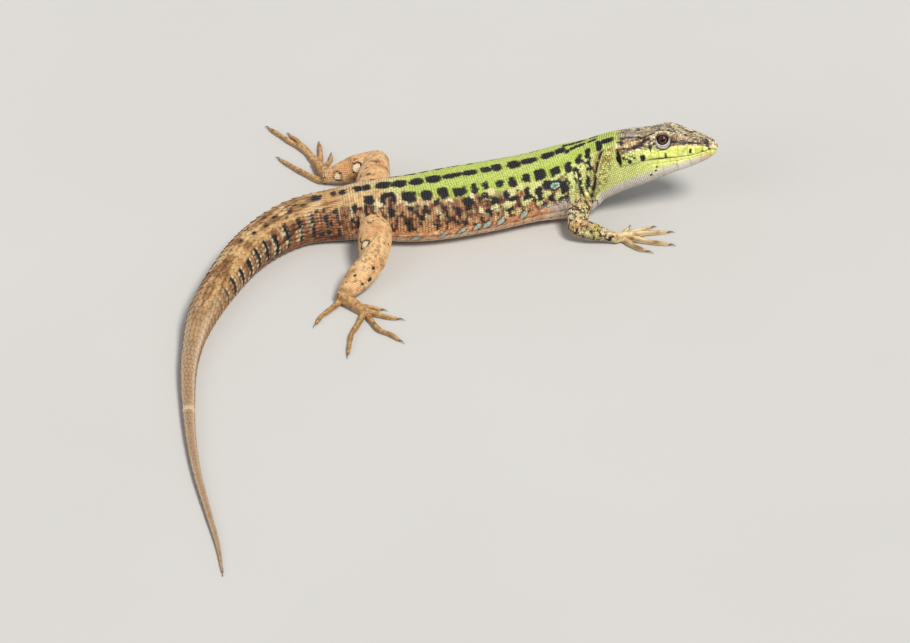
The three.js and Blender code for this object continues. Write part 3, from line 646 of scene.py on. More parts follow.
def paintTail(distance, angle, spot):
    c = colours
    signed, degrees = np.degrees(angle), np.abs(np.degrees(angle))
    toArc = girthAround(distance) / 360
    arc = degrees * toArc
    fine, broad = grainNoise(spot, 0.5, 60), grainNoise(spot, 2.4, 61)

    def dice(first, second, layer, seed):
        return grainNoise(np.stack([first, second, np.full(len(distance), float(layer))], 1), 1.0, seed)
    lines = dice(distance / 2.6, arc / 0.42, 0, 62)
    top = layers(c["sand"] * 0.84, ("cream", (broad - 0.4) * 0.9), ("rust", 0.2 + 0.3 * (fine - 0.5)),
                 (c["sandDeep"] * 0.75, (lines - 0.42) * 3.2))
    side = layers(c["rust"] * 0.62, (c["orange"] * 0.85, (fine - 0.5) * 2), ("rustDeep", (0.5 - lines) * 3.4),
                  (c["sand"] * 0.85, ease(distance, 96, 120) * 0.4))
    edge = ease(degrees + (broad - 0.5) * 16 + (fine - 0.5) * 12, 38, 52)
    # bars: a black band with pale squares behind it, and thin pale and brown lines between the bars
    ring = np.clip(np.searchsorted(tailRings, distance - 0.22) - 1, 0, len(tailRings) - 1)
    turns = (angle + math.pi) / (2 * math.pi) * ringCounts[ring] - 0.5 * (ring % 2)
    bar = tailBars[np.clip(np.searchsorted(tailBars, distance + 0.12) - 1, 0, len(tailBars) - 1)]
    past, barKey = distance - bar, bar * 3.1
    higher = degrees + (dice(barKey, barKey * 0, 0, 63) - 0.5) * 12
    gone = fade(distance, 112, 134) * ease(distance, 77, 80) * (past < 4)
    atBase = fade(distance, 85.5, 87)
    ragged, column = dice(barKey, arc, 5, 65), dice(barKey, np.rint(turns) * 1.7, 8, 64)
    square = fade(np.abs(turns - np.rint(turns)), 0.28 + 0.1 * column, 0.38 + 0.1 * column)
    wide = (0.95 + 0.75 * ragged) * (1 - 0.45 * atBase)
    dark = ease(past, 0, 0.14) * fade(past, wide, wide + 0.2) * (1 - atBase * fade(ragged, 0.45, 0.56))
    pale = ease(past, wide - 0.3, wide - 0.15) * fade(past, wide + 0.4, wide + 0.55)
    shown = ease(higher, 38, 43) * fade(degrees, 102, 116) * gone
    base = blots(distance, degrees + (fine - 0.5) * 5, toArc, "tailBase", 0.2)
    dash = blots(distance + (fine - 0.5) * 0.5, (fine - 0.5) * 5 - signed, toArc, "tailDash", 0.22)
    # the grown-again end is plain, with a pale line along each side
    plain = layers("regrown", ("sandDeep", (fine - 0.4) * 1.1), ("regrownPale", hump(degrees, 50, 13) * 0.8),
                   ("sandDeep", hump(degrees, 80, 13) * 0.55 + bell(degrees / 14) * 0.25))
    square = square * ease(column, 0.34, 0.46) * (0.9 - 0.8 * atBase)
    return layers(mixIn(top, side, edge),
                  (c["cream"] * 0.9, hump(past, -0.04, 0.12) * shown * (1 - atBase * 0.5)),
                  ("rustDeep", (hump(past, 2.0, 0.16) + hump(past, 2.9, 0.12)) * 0.8 * shown),
                  (c["cream"] * 0.9, hump(past, 2.35, 0.14) * shown * (column > 0.5) * 0.6),
                  ("black", dark * shown * 1.1),
                  (c["cream"] * 0.85, pale * square * shown),
                  ("black", base), ("black", dash * (1.05 - ease(distance, 98, 126) * 0.6)),
                  (plain, ease(distance, 118, 142)),
                  ("bone", blot(distance, degrees, 160.5, 90, 0.7, 200) * 0.45),  # one pale ring
                  (c["bellyWhite"] * 0.85, ease(degrees, 128, 142) * 0.8))


legSpots = [  # leg, part, share of its length, degrees from the top, radius, pale or dark
    ("hindleg_left", "lower", 0.35, -57, 0.85, "bone"), ("hindleg_left", "lower", 0.77, -72, 0.72, "bone"),
    ("hindleg_right", "upper", 0.8, 38, 0.78, "bone"), ("hindleg_right", "lower", 0.42, -80, 0.55, "black"),
    ("hindleg_right", "lower", 0.58, -14, 0.3, "black"), ("hindleg_right", "lower", 0.6, -70, 0.4, "black"),
    ("hindleg_right", "lower", 0.21, -55, 0.45, "black"), ("hindleg_right", "lower", 0.5, 70, 0.65, "bone"),
    ("hindleg_left", "lower", 0.5, 60, 0.6, "bone"),
    ("foreleg_right", "upper", 0.7, 70, 0.4, "bone"), ("foreleg_left", "upper", 0.7, -70, 0.4, "bone"),
]


def paintLeg(which, share, angle, spot):
    c = colours
    fore = np.array([limb["kind"] == "foreleg" for limb in limbs])[which] * 1.0
    foot = np.array([limb["part"] in ("toe", "sole") for limb in limbs])[which]
    length = np.array([limb["at"][-1] for limb in limbs])[which]
    turn = np.abs(angle)
    fine, mid = grainNoise(spot, 0.42, 80), grainNoise(spot, 1.15, 81)
    hind = layers("thigh", ("cream", (mid - 0.5) * 1.1), ("sandDeep", (fine - 0.5) * 2.2),
                  ("orange", (grainNoise(spot, 2.2, 86) - 0.5) * 1.6),
                  ("sandDeep", (0.45 - grainNoise(spot, 1.6, 89)) * 2.1),
                  ("crownDark", (0.21 - grainNoise(spot, 0.6, 83)) * 9))
    # the fore legs are netted black across
    rows = (share * length / 0.7 + (grainNoise(spot, 0.8, 82) - 0.5) * 2.4) % 1
    net = fade(np.abs(rows - 0.5), 0.12, 0.24) * ease(grainNoise(spot, 0.5, 88), 0.26, 0.36)
    front = layers("cream", ("ochre", 0.3 + (mid - 0.5) * 1.6),
                   (c["lip"] * 0.8, (grainNoise(spot, 1.8, 87) - 0.5) * 1.2), ("sandDeep", (0.5 - fine) * 4),
                   ("black", net), ("black", (0.3 - fine) * 9),
                   (c["rustDeep"] * 0.7, ease(turn, 1.2, 1.9) * 0.5))
    # the toes are painted darker along both sides as shade
    toes = layers("sand", ("sandDeep", (fine - 0.3) * 1.8), ("crownDark", (0.3 - mid) * 2.4),
                  ("cream", fore * (mid - 0.1) * 1.3), ("sandDeep", hump(turn, 1.1, 0.4) * 0.6))
    out = np.where(foot[:, None], toes, mixIn(hind, front, fore))
    for owner, part, far, degrees, radius, colour in legSpots:
        limb = next(limb for limb in limbs if (limb["owner"], limb["part"]) == (owner, part))
        place = limbPoint(limb, np.array([far * limb["at"][-1]]), np.radians([float(degrees)]))
        reach = np.linalg.norm(spot - place, axis=1) / radius + (fine - 0.5) * 0.3
        ring = hump(reach, 1.3, 0.28) * (0.5 + 0.8 * ease(mid, 0.3, 0.45)) * (colour == "bone")
        out = layers(out, ("black", ring), (colour, fade(reach, 0.9, 1.08)))
    return mixIn(out, "bellyWhite", ease(turn, 2.0, 2.5) * 0.7)


def paint(points):  # the lizard's colour at any point near its surface
    distance, angle, share = bodyPlace(points)
    which, limbShare, limbAngle, limbRatio = limbPlace(points)
    out = np.zeros((len(points), 3))
    rows = np.nonzero(distance < 33)[0]
    out[rows] = paintHead(distance[rows], angle[rows], points[rows])
    rows = np.nonzero((distance > 17) & (distance < 84))[0]
    place = distance[rows], angle[rows], points[rows]
    d, turn = distance[rows], np.abs(np.degrees(angle[rows]))
    lowFrom = 113 + 14 * fade(d, 31, 36)
    low = ease(turn, 97, 99) * ease(d, 36, 38) + ease(turn, lowFrom, lowFrom + 3) * ease(d, 26, 28)
    trunk = mixIn(paintTrunk(*place), paintBelly(*place), low)
    border = 20.4 + 0.3 * np.cos(turn / 9)
    border = border + (neckFoldAt(turn) - 0.8 - border) * ease(turn, 46, 58)
    out[rows] = mixIn(out[rows], trunk, ease(d, border - 0.5, border + 0.5))
    rows = np.nonzero(distance > 75)[0]
    tail = paintTail(distance[rows], angle[rows], points[rows])
    out[rows] = mixIn(out[rows], tail, ease(distance[rows], 77.5, 81.5))
    leg = paintLeg(which, limbShare, limbAngle, points)
    return np.clip(mixIn(out, leg, ease(share, 1.05, 1.16) * (limbRatio < 1.8)), 0, 1)


# Meshes
def addObject(name, data):
    made = bpy.data.objects.new(name, data)
    bpy.context.scene.collection.objects.link(made)
    return made


def makeMesh(name, points, triangles, tint=None, rim=None, patch=None):
    mesh = bpy.data.meshes.new(name)
    count, corners = len(triangles), np.asarray(triangles, np.int32).ravel()
    mesh.vertices.add(len(points))
    mesh.vertices.foreach_set("co", (np.asarray(points) * mm).astype(np.float32).ravel())
    mesh.loops.add(count * 3)
    mesh.loops.foreach_set("vertex_index", corners)
    mesh.polygons.add(count)
    mesh.polygons.foreach_set("loop_start", np.arange(0, count * 3, 3, dtype=np.int32))
    mesh.polygons.foreach_set("loop_total", np.full(count, 3, np.int32))
    mesh.update(calc_edges=True)
    mesh.polygons.foreach_set("use_smooth", np.full(count, True))
    if tint is not None:
        colour = mesh.attributes.new("tint", "FLOAT_COLOR", "POINT")
        colour.data.foreach_set("color", np.c_[tint, np.ones(len(points))].astype(np.float32).ravel())
    if rim is not None:
        mesh.attributes.new("rim", "FLOAT", "POINT").data.foreach_set("value", np.asarray(rim, np.float32))
    if patch is not None:
        unwrap = np.asarray(patch)[corners].astype(np.float32).ravel()
        mesh.uv_layers.new(name="OFBake").data.foreach_set("uv", unwrap)
    mesh.validate()
    return addObject(name, mesh)


def dress(made, finish):  # every piece moves with the root, since nothing turns
    made.data.materials.append(finish)
    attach(made, "root")
    return made


def gridQuads(count, around):  # the cells between rings of points
    row, k = np.arange(count - 1)[:, None] * around, np.arange(around)
    n = (k + 1) % around
    return np.stack([row + k, row + n, row + around + n, row + around + k], -1).reshape(-1, 4)


def halves(quads):  # each cell as two triangles
    return quads[:, [[0, 1, 2], [0, 2, 3]]].reshape(-1, 3)


def tubeShell(rings, firstPole, lastPole):  # points, cells and end triangles of rings closed at both poles
    count, around = rings.shape[:2]
    points = np.vstack([rings.reshape(-1, 3), firstPole, lastPole])
    k, last = np.arange(around), (count - 1) * around
    n = (k + 1) % around
    first = np.full(around, len(points) - 2)
    ends = np.stack([first, n, k, first + 1, last + k, last + n], 1).reshape(-1, 3)
    return points, gridQuads(count, around), ends


def bodyShell():
    step = along([(0, 0.25), (24, 0.5), (80, 0.8), (218, 0.8)], np.arange(0, 1000))
    stops = np.r_[0.0, np.cumsum(step)]
    stops = np.r_[stops[stops < bodyLength - 0.3], bodyLength - 0.1]
    angles = np.linspace(0, 2 * math.pi, 72, endpoint=False)
    rings = bodyPoint(stops[:, None], angles[None, :])
    tip = onSpine(spineLine, np.array([stops[0] + 0.15, bodyLength]))
    return tubeShell(rings, tip[0], tip[1])


def limbShell(limb):
    around, long = 16 if limb["part"] == "toe" else 28, limb["at"][-1]
    angles = np.linspace(0, 2 * math.pi, around, endpoint=False)
    stops = np.linspace(0, long, max(6, int(long / 0.35)))
    rings = [limbPoint(limb, np.full(around, at), angles) for at in stops]
    domes, poles = [], []
    for end, way in ((0, -1), (-1, 1)):
        ring, tangent, radius = rings[end], limb["tangent"][end], limb["radius"][end]
        middle = ring.mean(0)
        domes.append([middle + (ring - middle) * math.sqrt(1 - lift * lift)
                      + tangent * way * lift * radius * 0.8 for lift in (0.35, 0.65, 0.88)])
        poles.append(middle + tangent * way * radius * 0.8)
    rings = np.array([*reversed(domes[0]), *rings, *domes[1]])
    rings[..., 2] = np.maximum(rings[..., 2], skinMake["lowest"])
    return tubeShell(rings, *poles)


def readMesh(mesh):  # points and their normals
    found = []
    for key in ("co", "normal"):
        values = np.empty(len(mesh.vertices) * 3)
        mesh.vertices.foreach_get(key, values)
        found.append(values.reshape(-1, 3))
    return found


def trianglesOf(mesh):
    mesh.calc_loop_triangles()
    triangles = np.empty(len(mesh.loop_triangles) * 3, np.int32)
    mesh.loop_triangles.foreach_get("vertices", triangles)
    return triangles.reshape(-1, 3)


# Skin
skinMake = {
    "voxel": 0.2, "smoothing": 5, "faces": 150000, "lowest": 0.1,
    "mouthGroove": 0.26, "nostrilDeep": 0.5, "nostrilWide": 0.3, "ripple": 0.2, "foldDeep": 0.34,
    # height, distance and half length, degrees and half width of the temple, the hollow before the eye,
    # the brow's hind end, the crown's dip and the lip
    "swellings": [(0.3, 16.5, 3.2, 90, 20), (-0.32, 5.6, 2.0, 62, 11), (0.12, 12.4, 2.4, 33, 14),
                  (-0.16, 12, 4, 0, 14), (0.12, 7.5, 6, 86, 7)],
    "folds": [(-0.34, 0.1, 0.5), (0.3, -1.3, 1.0), (0.18, 1.4, 0.7)],  # height, place and width at the neck
}
lid = {"inner": 0.98, "wider": 0.2, "outer": 1.5, "lower": 0.5, "upper": 0.06, "over": 1.36, "thick": 0.24,
       "rings": 16, "around": 120, "bead": 0.19, "beadRings": [0.3, 0.47, 0.63, 0.79, 0.95]}


def joinFlesh():  # all the flesh as one closed skin, in millimetres
    points, faces, start = [], [], 0
    for shell, cells, ends in [bodyShell()] + [limbShell(limb) for limb in limbs]:
        points.append(shell)
        faces += (cells + start).tolist() + (ends + start).tolist()
        start += len(shell)
    mesh = bpy.data.meshes.new("fleshDraft")
    mesh.from_pydata(np.vstack(points).tolist(), [], faces)
    draft = addObject("fleshDraft", mesh)
    remesh = draft.modifiers.new("join", "REMESH")
    remesh.mode = "VOXEL"
    remesh.voxel_size = skinMake["voxel"]
    relax = draft.modifiers.new("relax", "SMOOTH")
    relax.factor = 0.5
    relax.iterations = skinMake["smoothing"]
    return draft


def withModifiers(made):
    bpy.context.view_layer.update()
    return bpy.data.meshes.new_from_object(made.evaluated_get(bpy.context.evaluated_depsgraph_get()))


def gazeOf(side):  # centre of an eye and the way it looks
    centre = offSpine(eye["at"], side * eye["side"], eye["up"])
    back, left, up = (onSpine(line, eye["at"]) for line in (backLine, leftLine, upLine))
    return centre, unit(left * side + up * 0.14 - back * 0.16)


def aroundEye(points, side):  # of each point: depth along the gaze, distance from it, and 1 above to -1 below
    centre, gaze = gazeOf(side)
    off = points - centre
    deep = off @ gaze
    wide = np.linalg.norm(off - deep[:, None] * gaze, axis=1)
    up = onSpine(upLine, eye["at"])
    up = unit(up - gaze * (up @ gaze))
    return deep, wide, (off @ up) / np.maximum(wide, 0.01)


def lidRim(upward):  # outer radius of the lids: upward is 1 at the top and -1 at the bottom
    down = (1 - upward) / 2
    return lid["outer"] + lid["lower"] * down ** 1.5 - lid["upper"] * (1 - down)


def earPlace(side):
    half, _, _ = sectionAt(np.array(ear["at"]), True)
    return offSpine(ear["at"], side * float(half) * 0.985, ear["up"])


def earReach(points, side, wider=0.0, higher=0.0):  # below 1 inside the ear's outline
    off = points - earPlace(side)
    reach = np.hypot(off @ onSpine(backLine, ear["at"]) / (ear["along"] + wider),
                     off @ onSpine(upLine, ear["at"]) / (ear["high"] + higher))
    return np.where(np.linalg.norm(off, axis=1) < 3, reach, 9.0)


def carveSkin(points, normals):  # folds, pits and swellings of the head, neck and flanks
    m = skinMake
    distance, angle, share = bodyPlace(points)
    degrees = np.abs(np.degrees(angle))
    lift = np.zeros(len(points))
    for high, at, long, turn, wide in m["swellings"]:
        lift += high * hump(distance, at, long) * hump(degrees, turn, wide)
    lift -= m["mouthGroove"] * (bell((degrees - mouthLine(distance)) / 1.7) * fade(distance, 14.0, 15.4))
    past = distance - neckFoldAt(degrees)
    tall = ease(degrees, 44, 64) * (1 - 0.4 * ease(degrees, 130, 150))
    for high, at, wide in m["folds"]:
        lift += high * hump(past, at, wide) * tall
    lift -= m["foldDeep"] * 0.5 * hump(past, 2.9, 0.45) * tall * fade(degrees, 112, 128)
    lift -= 0.2 * hump(past, -3.4, 0.4) * ease(degrees, 52, 66) * fade(degrees, 92, 104)
    wrinkle = grainNoise(points * np.array([1, 1, 0.35]), 1.5, 90) - 0.5
    onFlank = ease(degrees, 52, 76) * ease(distance, 21, 27) * fade(distance, 72, 84)
    lift += m["ripple"] * wrinkle * onFlank * fade(degrees, 112, 124)
    moved = points + normals * (lift * (share < 1.25))[:, None]
    for side in (1, -1):
        _, gaze = gazeOf(side)
        deep, wide, upward = aroundEye(moved, side)
        inside = fade(wide - lidRim(upward), -0.2, 0.06) * (deep > 0)
        moved -= gaze * (inside * np.maximum(deep - 0.3, 0))[:, None]
        nose = bodyPoint(nostril["at"], side * math.radians(nostril["degrees"]))
        pit = bell(np.linalg.norm(points - nose, axis=1) / m["nostrilWide"])
        moved -= normals * (pit * m["nostrilDeep"])[:, None]
        pit = fade(earReach(points, side), 0.7, 1.15)
        moved -= onSpine(leftLine, ear["at"]) * side * (pit * ear["deep"])[:, None]
    moved[:, 2] = np.maximum(moved[:, 2], m["lowest"])
    return moved


def makeSkin():
    draft = joinFlesh()
    dense = withModifiers(draft)
    moved = carveSkin(*readMesh(dense))
    dense.vertices.foreach_set("co", moved.ravel())
    draft.modifiers.clear()
    draft.data = dense
    distance, _, share = bodyPlace(moved)
    plain = (distance > 32) & (share < 1.08)
    group = draft.vertex_groups.new(name="plain")
    group.add(np.nonzero(plain)[0].tolist(), 1.0, "REPLACE")
    group.add(np.nonzero(~plain)[0].tolist(), 0.4, "REPLACE")
    thin = draft.modifiers.new("thin", "DECIMATE")
    thin.ratio = min(1.0, skinMake["faces"] / len(dense.polygons))
    thin.vertex_group = "plain"
    thin.vertex_group_factor = 1.0
    final = withModifiers(draft)
    points, _ = readMesh(final)
    triangles = trianglesOf(final)
    bpy.data.objects.remove(draft)
    distance, angle, _ = bodyPlace(points)
    # the skin shows only between the scales and is painted at 0.6 of its colour as shade in those gaps, less
    # so on the sides and underside of the head
    face = fade(distance, 15, 17) * ease(np.abs(np.degrees(angle)), 60, 68)
    made = makeMesh("skin", points, triangles, paint(points) * (0.6 + 0.3 * face)[:, None])
    return made, points, triangles


skin, skinPoints, skinTriangles = makeSkin()
print("skin:", len(skinPoints), "points,", len(skinTriangles), "triangles")
skinTree = BVHTree.FromPolygons(skinPoints.tolist(), skinTriangles.tolist())
skinNormals = readMesh(skin.data)[1]


def ontoSkin(points):  # nearest place on the skin, with its smooth normal
    place = np.empty((len(points), 3))
    normal = np.empty((len(points), 3))
    for i, p in enumerate(np.asarray(points).tolist()):
        where, _, face, _ = skinTree.find_nearest(Vector(p))
        place[i] = where
        corners = skinTriangles[face]
        weight = 1 / (np.linalg.norm(skinPoints[corners] - place[i], axis=1) + 0.02)
        normal[i] = weight @ skinNormals[corners]
    return place, unit(normal)


# Scales
keelRows = [  # place along, half width, height of the ridge and its sides, bottom
    (-0.5, 0.4, 0.25, 0.12, -0.6), (-0.32, 0.46, 0.5, 0.32, -0.6), (-0.16, 0.5, 0.7, 0.46, -0.5),
    (0.0, 0.5, 0.85, 0.56, -0.4), (0.18, 0.45, 0.98, 0.64, -0.2), (0.38, 0.3, 1.06, 0.72, 0.1),
    (0.58, 0.04, 1.1, 0.98, 0.6),
]


def keeledShape():  # a long scale with a ridge, free at its hind end
    points, rim, faces = [], [], []
    for x, wide, top, flat, low in keelRows:
        for side, high in ((-1, low), (-0.8, flat), (0, top), (0.8, flat), (1, low)):
            points.append((x, wide * side, high))
        rim += [1.0, 0.3, 0.0, 0.3, 1.0]
    rim[-5:] = [1.0, 0.5, 0.3, 0.5, 1.0]
    for row in range(len(keelRows) - 1):
        for k in range(4):
            a, b = row * 5 + k, row * 5 + k + 1
            faces += [(a, b + 5, b), (a, a + 5, b + 5)]
    return np.array(points), np.array(faces), np.array(rim)


def domeShape(reach, turn, rings, tip, sides=6):  # rings of (share of the reach, height, rim) and a tip
    angles = (np.arange(sides) + turn) / sides * 2 * math.pi
    ring = np.stack([np.cos(angles), np.sin(angles)], 1) * reach
    points = np.vstack([np.c_[ring * share, np.full(sides, high)] for share, high, _ in rings] + [tip])
    last = (len(rings) - 1) * sides
    faces = []
    for k in range(sides):
        n = (k + 1) % sides
        for low in range(0, last, sides):
            faces += [(low + k, low + n, low + sides + n), (low + k, low + sides + n, low + sides + k)]
        faces.append((last + k, last + n, last + sides))
    return points, np.array(faces), np.r_[np.repeat([rim for _, _, rim in rings], sides), 0.0]


shapes = {  # points in shares of the scale's size, triangles, nearness to the rim
    "bead": domeShape(0.5, 0.0, [(1.04, -0.35, 1.0), (0.8, 0.62, 0.35)], [0.04, 0, 1.0]),
    "plate": domeShape(0.55, 0.5, [(1, -0.6, 1.0), (0.97, 0.3, 0.9), (0.82, 0.85, 0.2)], [0, 0, 1.0]),
    "keeled": keeledShape(),
}
patchSize = 0.003  # of each scale, on the unwrap


def plantScales(shape, roots, normals, lie, long, wide, high, tilt=0.0):  # lie points to their hind ends
    template, faces, rim = shapes[shape]
    lie = unit(lie - normals * dot(lie, normals)[:, None])
    count = len(roots)
    long, wide, high = (np.broadcast_to(v, count) for v in (long, wide, high))
    x = template[None, :, 0] * long[:, None]
    y = template[None, :, 1] * wide[:, None]
    z = template[None, :, 2] * high[:, None] + np.maximum(x, 0) * tilt
    points = (roots[:, None] + lie[:, None] * x[..., None] + np.cross(normals, lie)[:, None] * y[..., None]
              + normals[:, None] * z[..., None])
    triangles = faces[None] + (np.arange(count) * len(template))[:, None, None]
    return {"points": points.reshape(-1, 3), "triangles": triangles.reshape(-1, 3), "roots": roots,
            "rim": np.tile(rim, count), "each": len(template), "local": np.tile(template[:, :2], (count, 1))}


def patchesOf(planted, home):  # each scale's small patch at its root's place on the unwrap
    return np.repeat(home, planted["each"], axis=0) + planted["local"] * patchSize


def unwrapBody(distance, angle, span):
    u = (angle + math.pi) % (2 * math.pi) / (2 * math.pi)
    return 0.02 + 0.96 * np.stack([u, (distance - span[0]) / (span[1] - span[0])], 1)


def tinted(planted, vary=0.1, seed=5, local=0.45):  # each scale mostly one colour, a little lighter or darker
    roots = planted["roots"]
    dice = np.random.default_rng(seed).uniform(1 - vary, 1 + vary, (len(roots), 1))
    own = np.repeat(paint(roots) * dice, planted["each"], axis=0)
    return own * (1 - local) + paint(planted["points"]) * local


def coatPiece(name, parts, finish):  # several plantings as one piece
    points, tint, rim, patch = (np.concatenate([part[key] for part in parts])
                                for key in ("points", "tint", "rim", "patch"))
    starts = np.cumsum([0] + [len(part["points"]) for part in parts])
    triangles = np.concatenate([part["triangles"] + start for part, start in zip(parts, starts)])
    points[:, 2] = np.maximum(points[:, 2], 0.0)
    print(name + ":", len(triangles), "triangles")
    return dress(makeMesh(name, points, triangles, tint, rim, patch), finish)


def hexRows(first, last, row, wide, low, high):  # staggered rows of (distance, angle) between two angles
    places = []
    for index, at in enumerate(np.arange(first, last, row)):
        around = float(girthAround(np.array(at)))
        count = max(2, int((high - low) / 360 * around / wide))
        angles = low + (np.arange(count) + 0.5 * (index % 2)) * (high - low) / count
        places.append(np.stack([np.full(count, at), np.radians(angles)], 1))
    return np.concatenate(places)


offSkin = {"body": 0.8, "limb": 0.34}  # places further off the skin than this stay bare


def plantOnBody(places, shape, long, wide, high, tilt, span, vary=0.1, seed=5, jitter=0.0, local=0.45):
    dice = np.random.default_rng(seed)
    distance, angle = places.T
    if jitter:
        distance = distance + dice.uniform(-jitter, jitter, len(distance))
        angle = angle + dice.uniform(-jitter, jitter, len(angle)) / 6
    around = bodyPoint(distance, angle)
    roots, normals = ontoSkin(around)
    near = np.linalg.norm(roots - around, axis=1) < offSkin["body"]
    roots, normals, distance, angle = roots[near], normals[near], distance[near], angle[near]
    size = dice.uniform(0.92, 1.1, len(roots))
    long, wide, high = (np.broadcast_to(v, len(near))[near] * size for v in (long, wide, high))
    planted = plantScales(shape, roots, normals, onSpine(backLine, distance), long, wide, high, tilt)
    planted["tint"] = tinted(planted, vary, seed, local)
    planted["patch"] = patchesOf(planted, unwrapBody(distance, angle, span))
    return planted


# Finishes
def feed(tree, node, sockets):  # each socket takes a value or another node's output
    for key, value in sockets.items():
        if isinstance(value, bpy.types.NodeSocket):
            tree.links.new(value, node.inputs[key])
        else:
            node.inputs[key].default_value = value


def addNode(tree, kind, sockets=None):
    node = tree.nodes.new("ShaderNode" + kind)
    feed(tree, node, sockets or {})
    return node


def startMaterial(name):
    material = bpy.data.materials.new(name)
    material.use_nodes = True
    tree = material.node_tree
    tree.nodes.clear()
    out = addNode(tree, "OutputMaterial")
    shader = addNode(tree, "BsdfPrincipled")
    feed(tree, out, {"Surface": shader.outputs["BSDF"]})
    return material, tree, shader


def attribute(tree, name, output):
    node = addNode(tree, "Attribute")
    node.attribute_name = name
    return node.outputs[output]


def addNoise(tree, scale, detail=3.0, rough=0.55):
    where = addNode(tree, "TexCoord").outputs["Object"]
    sockets = {"Scale": scale, "Detail": detail, "Roughness": rough, "Vector": where}
    return addNode(tree, "TexNoise", sockets).outputs["Fac"]


def mapRange(tree, value, low, high, fromLow=0.3, fromHigh=0.7):
    sockets = {"From Min": fromLow, "From Max": fromHigh, "To Min": low, "To Max": high, "Value": value}
    return addNode(tree, "MapRange", sockets).outputs["Result"]


def multiply(tree, colour, amount):
    node = addNode(tree, "VectorMath", {0: colour, 1: amount})
    node.operation = "MULTIPLY"
    return node.outputs["Vector"]


def scaleFinish(name, finish):  # painted by each scale's own tint, with painted shade towards the rim (on the shields together with their dark seams), dry and faintly horny
    material, tree, shader = startMaterial(name)
    colour = attribute(tree, "tint", "Color")
    # rimShade darkens each scale towards its rim: painted shade where the scales meet
    if finish.get("rimShade"):
        shade = mapRange(tree, attribute(tree, "rim", "Fac"), 1.0, 1 - finish["rimShade"], 0.2, 1.0)
        colour = multiply(tree, colour, shade)
    mottle = addNoise(tree, finish["mottleScale"], 4.0)
    colour = multiply(tree, colour, mapRange(tree, mottle, 1 - finish["mottle"], 1 + finish["mottle"]))
    feed(tree, shader, {"Base Color": colour})
    grain = addNoise(tree, finish["grainScale"], 4.0, 0.6)
    feed(tree, shader, {"Roughness": mapRange(tree, grain, *finish["rough"])})
    strength, deep = finish["bump"]
    bump = addNode(tree, "Bump", {"Strength": strength, "Distance": deep, "Height": grain})
    feed(tree, shader, {"Normal": bump.outputs["Normal"], "Specular IOR Level": finish["specular"]})
    return material


def rampFinish(name, scale, low, high, values):  # between two colours, with plain values for the rest
    material, tree, shader = startMaterial(name)
    noise = addNoise(tree, scale)
    ramp = addNode(tree, "ValToRGB", {"Fac": noise})
    for element, colour in zip(ramp.color_ramp.elements, (low, high)):
        element.color = (*colour, 1)
    feed(tree, shader, {"Base Color": ramp.outputs["Color"], **values})
    return material


def eyeFinish():  # wet, with fine flecks
    material, tree, shader = startMaterial("wetEye")
    tint = attribute(tree, "tint", "Color")
    flecks = mapRange(tree, addNoise(tree, wetEye["flecks"]), 0.75, 1.2)
    feed(tree, shader, {"Base Color": multiply(tree, tint, flecks), **wetEye["values"]})
    return material


finishes = {
    # rimShade: how much painted shade darkens each scale towards its rim
    "scales": {"rimShade": 0.34, "mottle": 0.14, "mottleScale": 2600, "grainScale": 9000,
               "rough": (0.42, 0.62), "bump": (0.35, 0.00004), "specular": 0.42},
    "plates": {"rimShade": 0.7, "mottle": 0.16, "mottleScale": 1800, "grainScale": 7000,
               "rough": (0.34, 0.55), "bump": (0.4, 0.00005), "specular": 0.45},
    "skin": {"mottle": 0.18, "mottleScale": 1500, "grainScale": 6000,
             "rough": (0.5, 0.7), "bump": (0.5, 0.00008), "specular": 0.3},
}
wetEye = {"flecks": 5200, "values": {"Roughness": 0.3, "Specular IOR Level": 0.1, "Coat Weight": 1.0,
                                     "Coat IOR": 1.34, "Coat Roughness": 0.02}}
scaleMaterial = scaleFinish("granularScales", finishes["scales"])
plateMaterial = scaleFinish("smoothPlates", finishes["plates"])
skinMaterial = scaleFinish("bareSkin", finishes["skin"])
dress(skin, skinMaterial)
fleshNodes = ["head", "jaw", "neck", "chest", "belly", "hips"] + ["tail_%d" % (k + 1) for k in range(7)]
fleshNodes += [owner + "_" + part for owner in legs for part in ("upper", "lower", "foot")]
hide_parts(*fleshNodes)


# Head shields
snoutCap = 0.6  # distances below 0 run over the blunt end of the snout


def headSurface(distance, angle):
    p = bodyPoint(np.maximum(distance, 0), angle)
    pull = np.clip(-np.asarray(distance, float) / snoutCap, 0, 1)
    return p + (spineLine[0] - p) * pull[..., None]


def crownAngle(distance, share):  # a share of the half width, as the outline's angle in degrees
    power = body["trunkPower"] + body["crownPower"] * ease(-distance, -27, -10)
    return np.degrees(np.arcsin(np.clip(np.abs(share), 0, 1) ** (power / 2)) * np.sign(share))


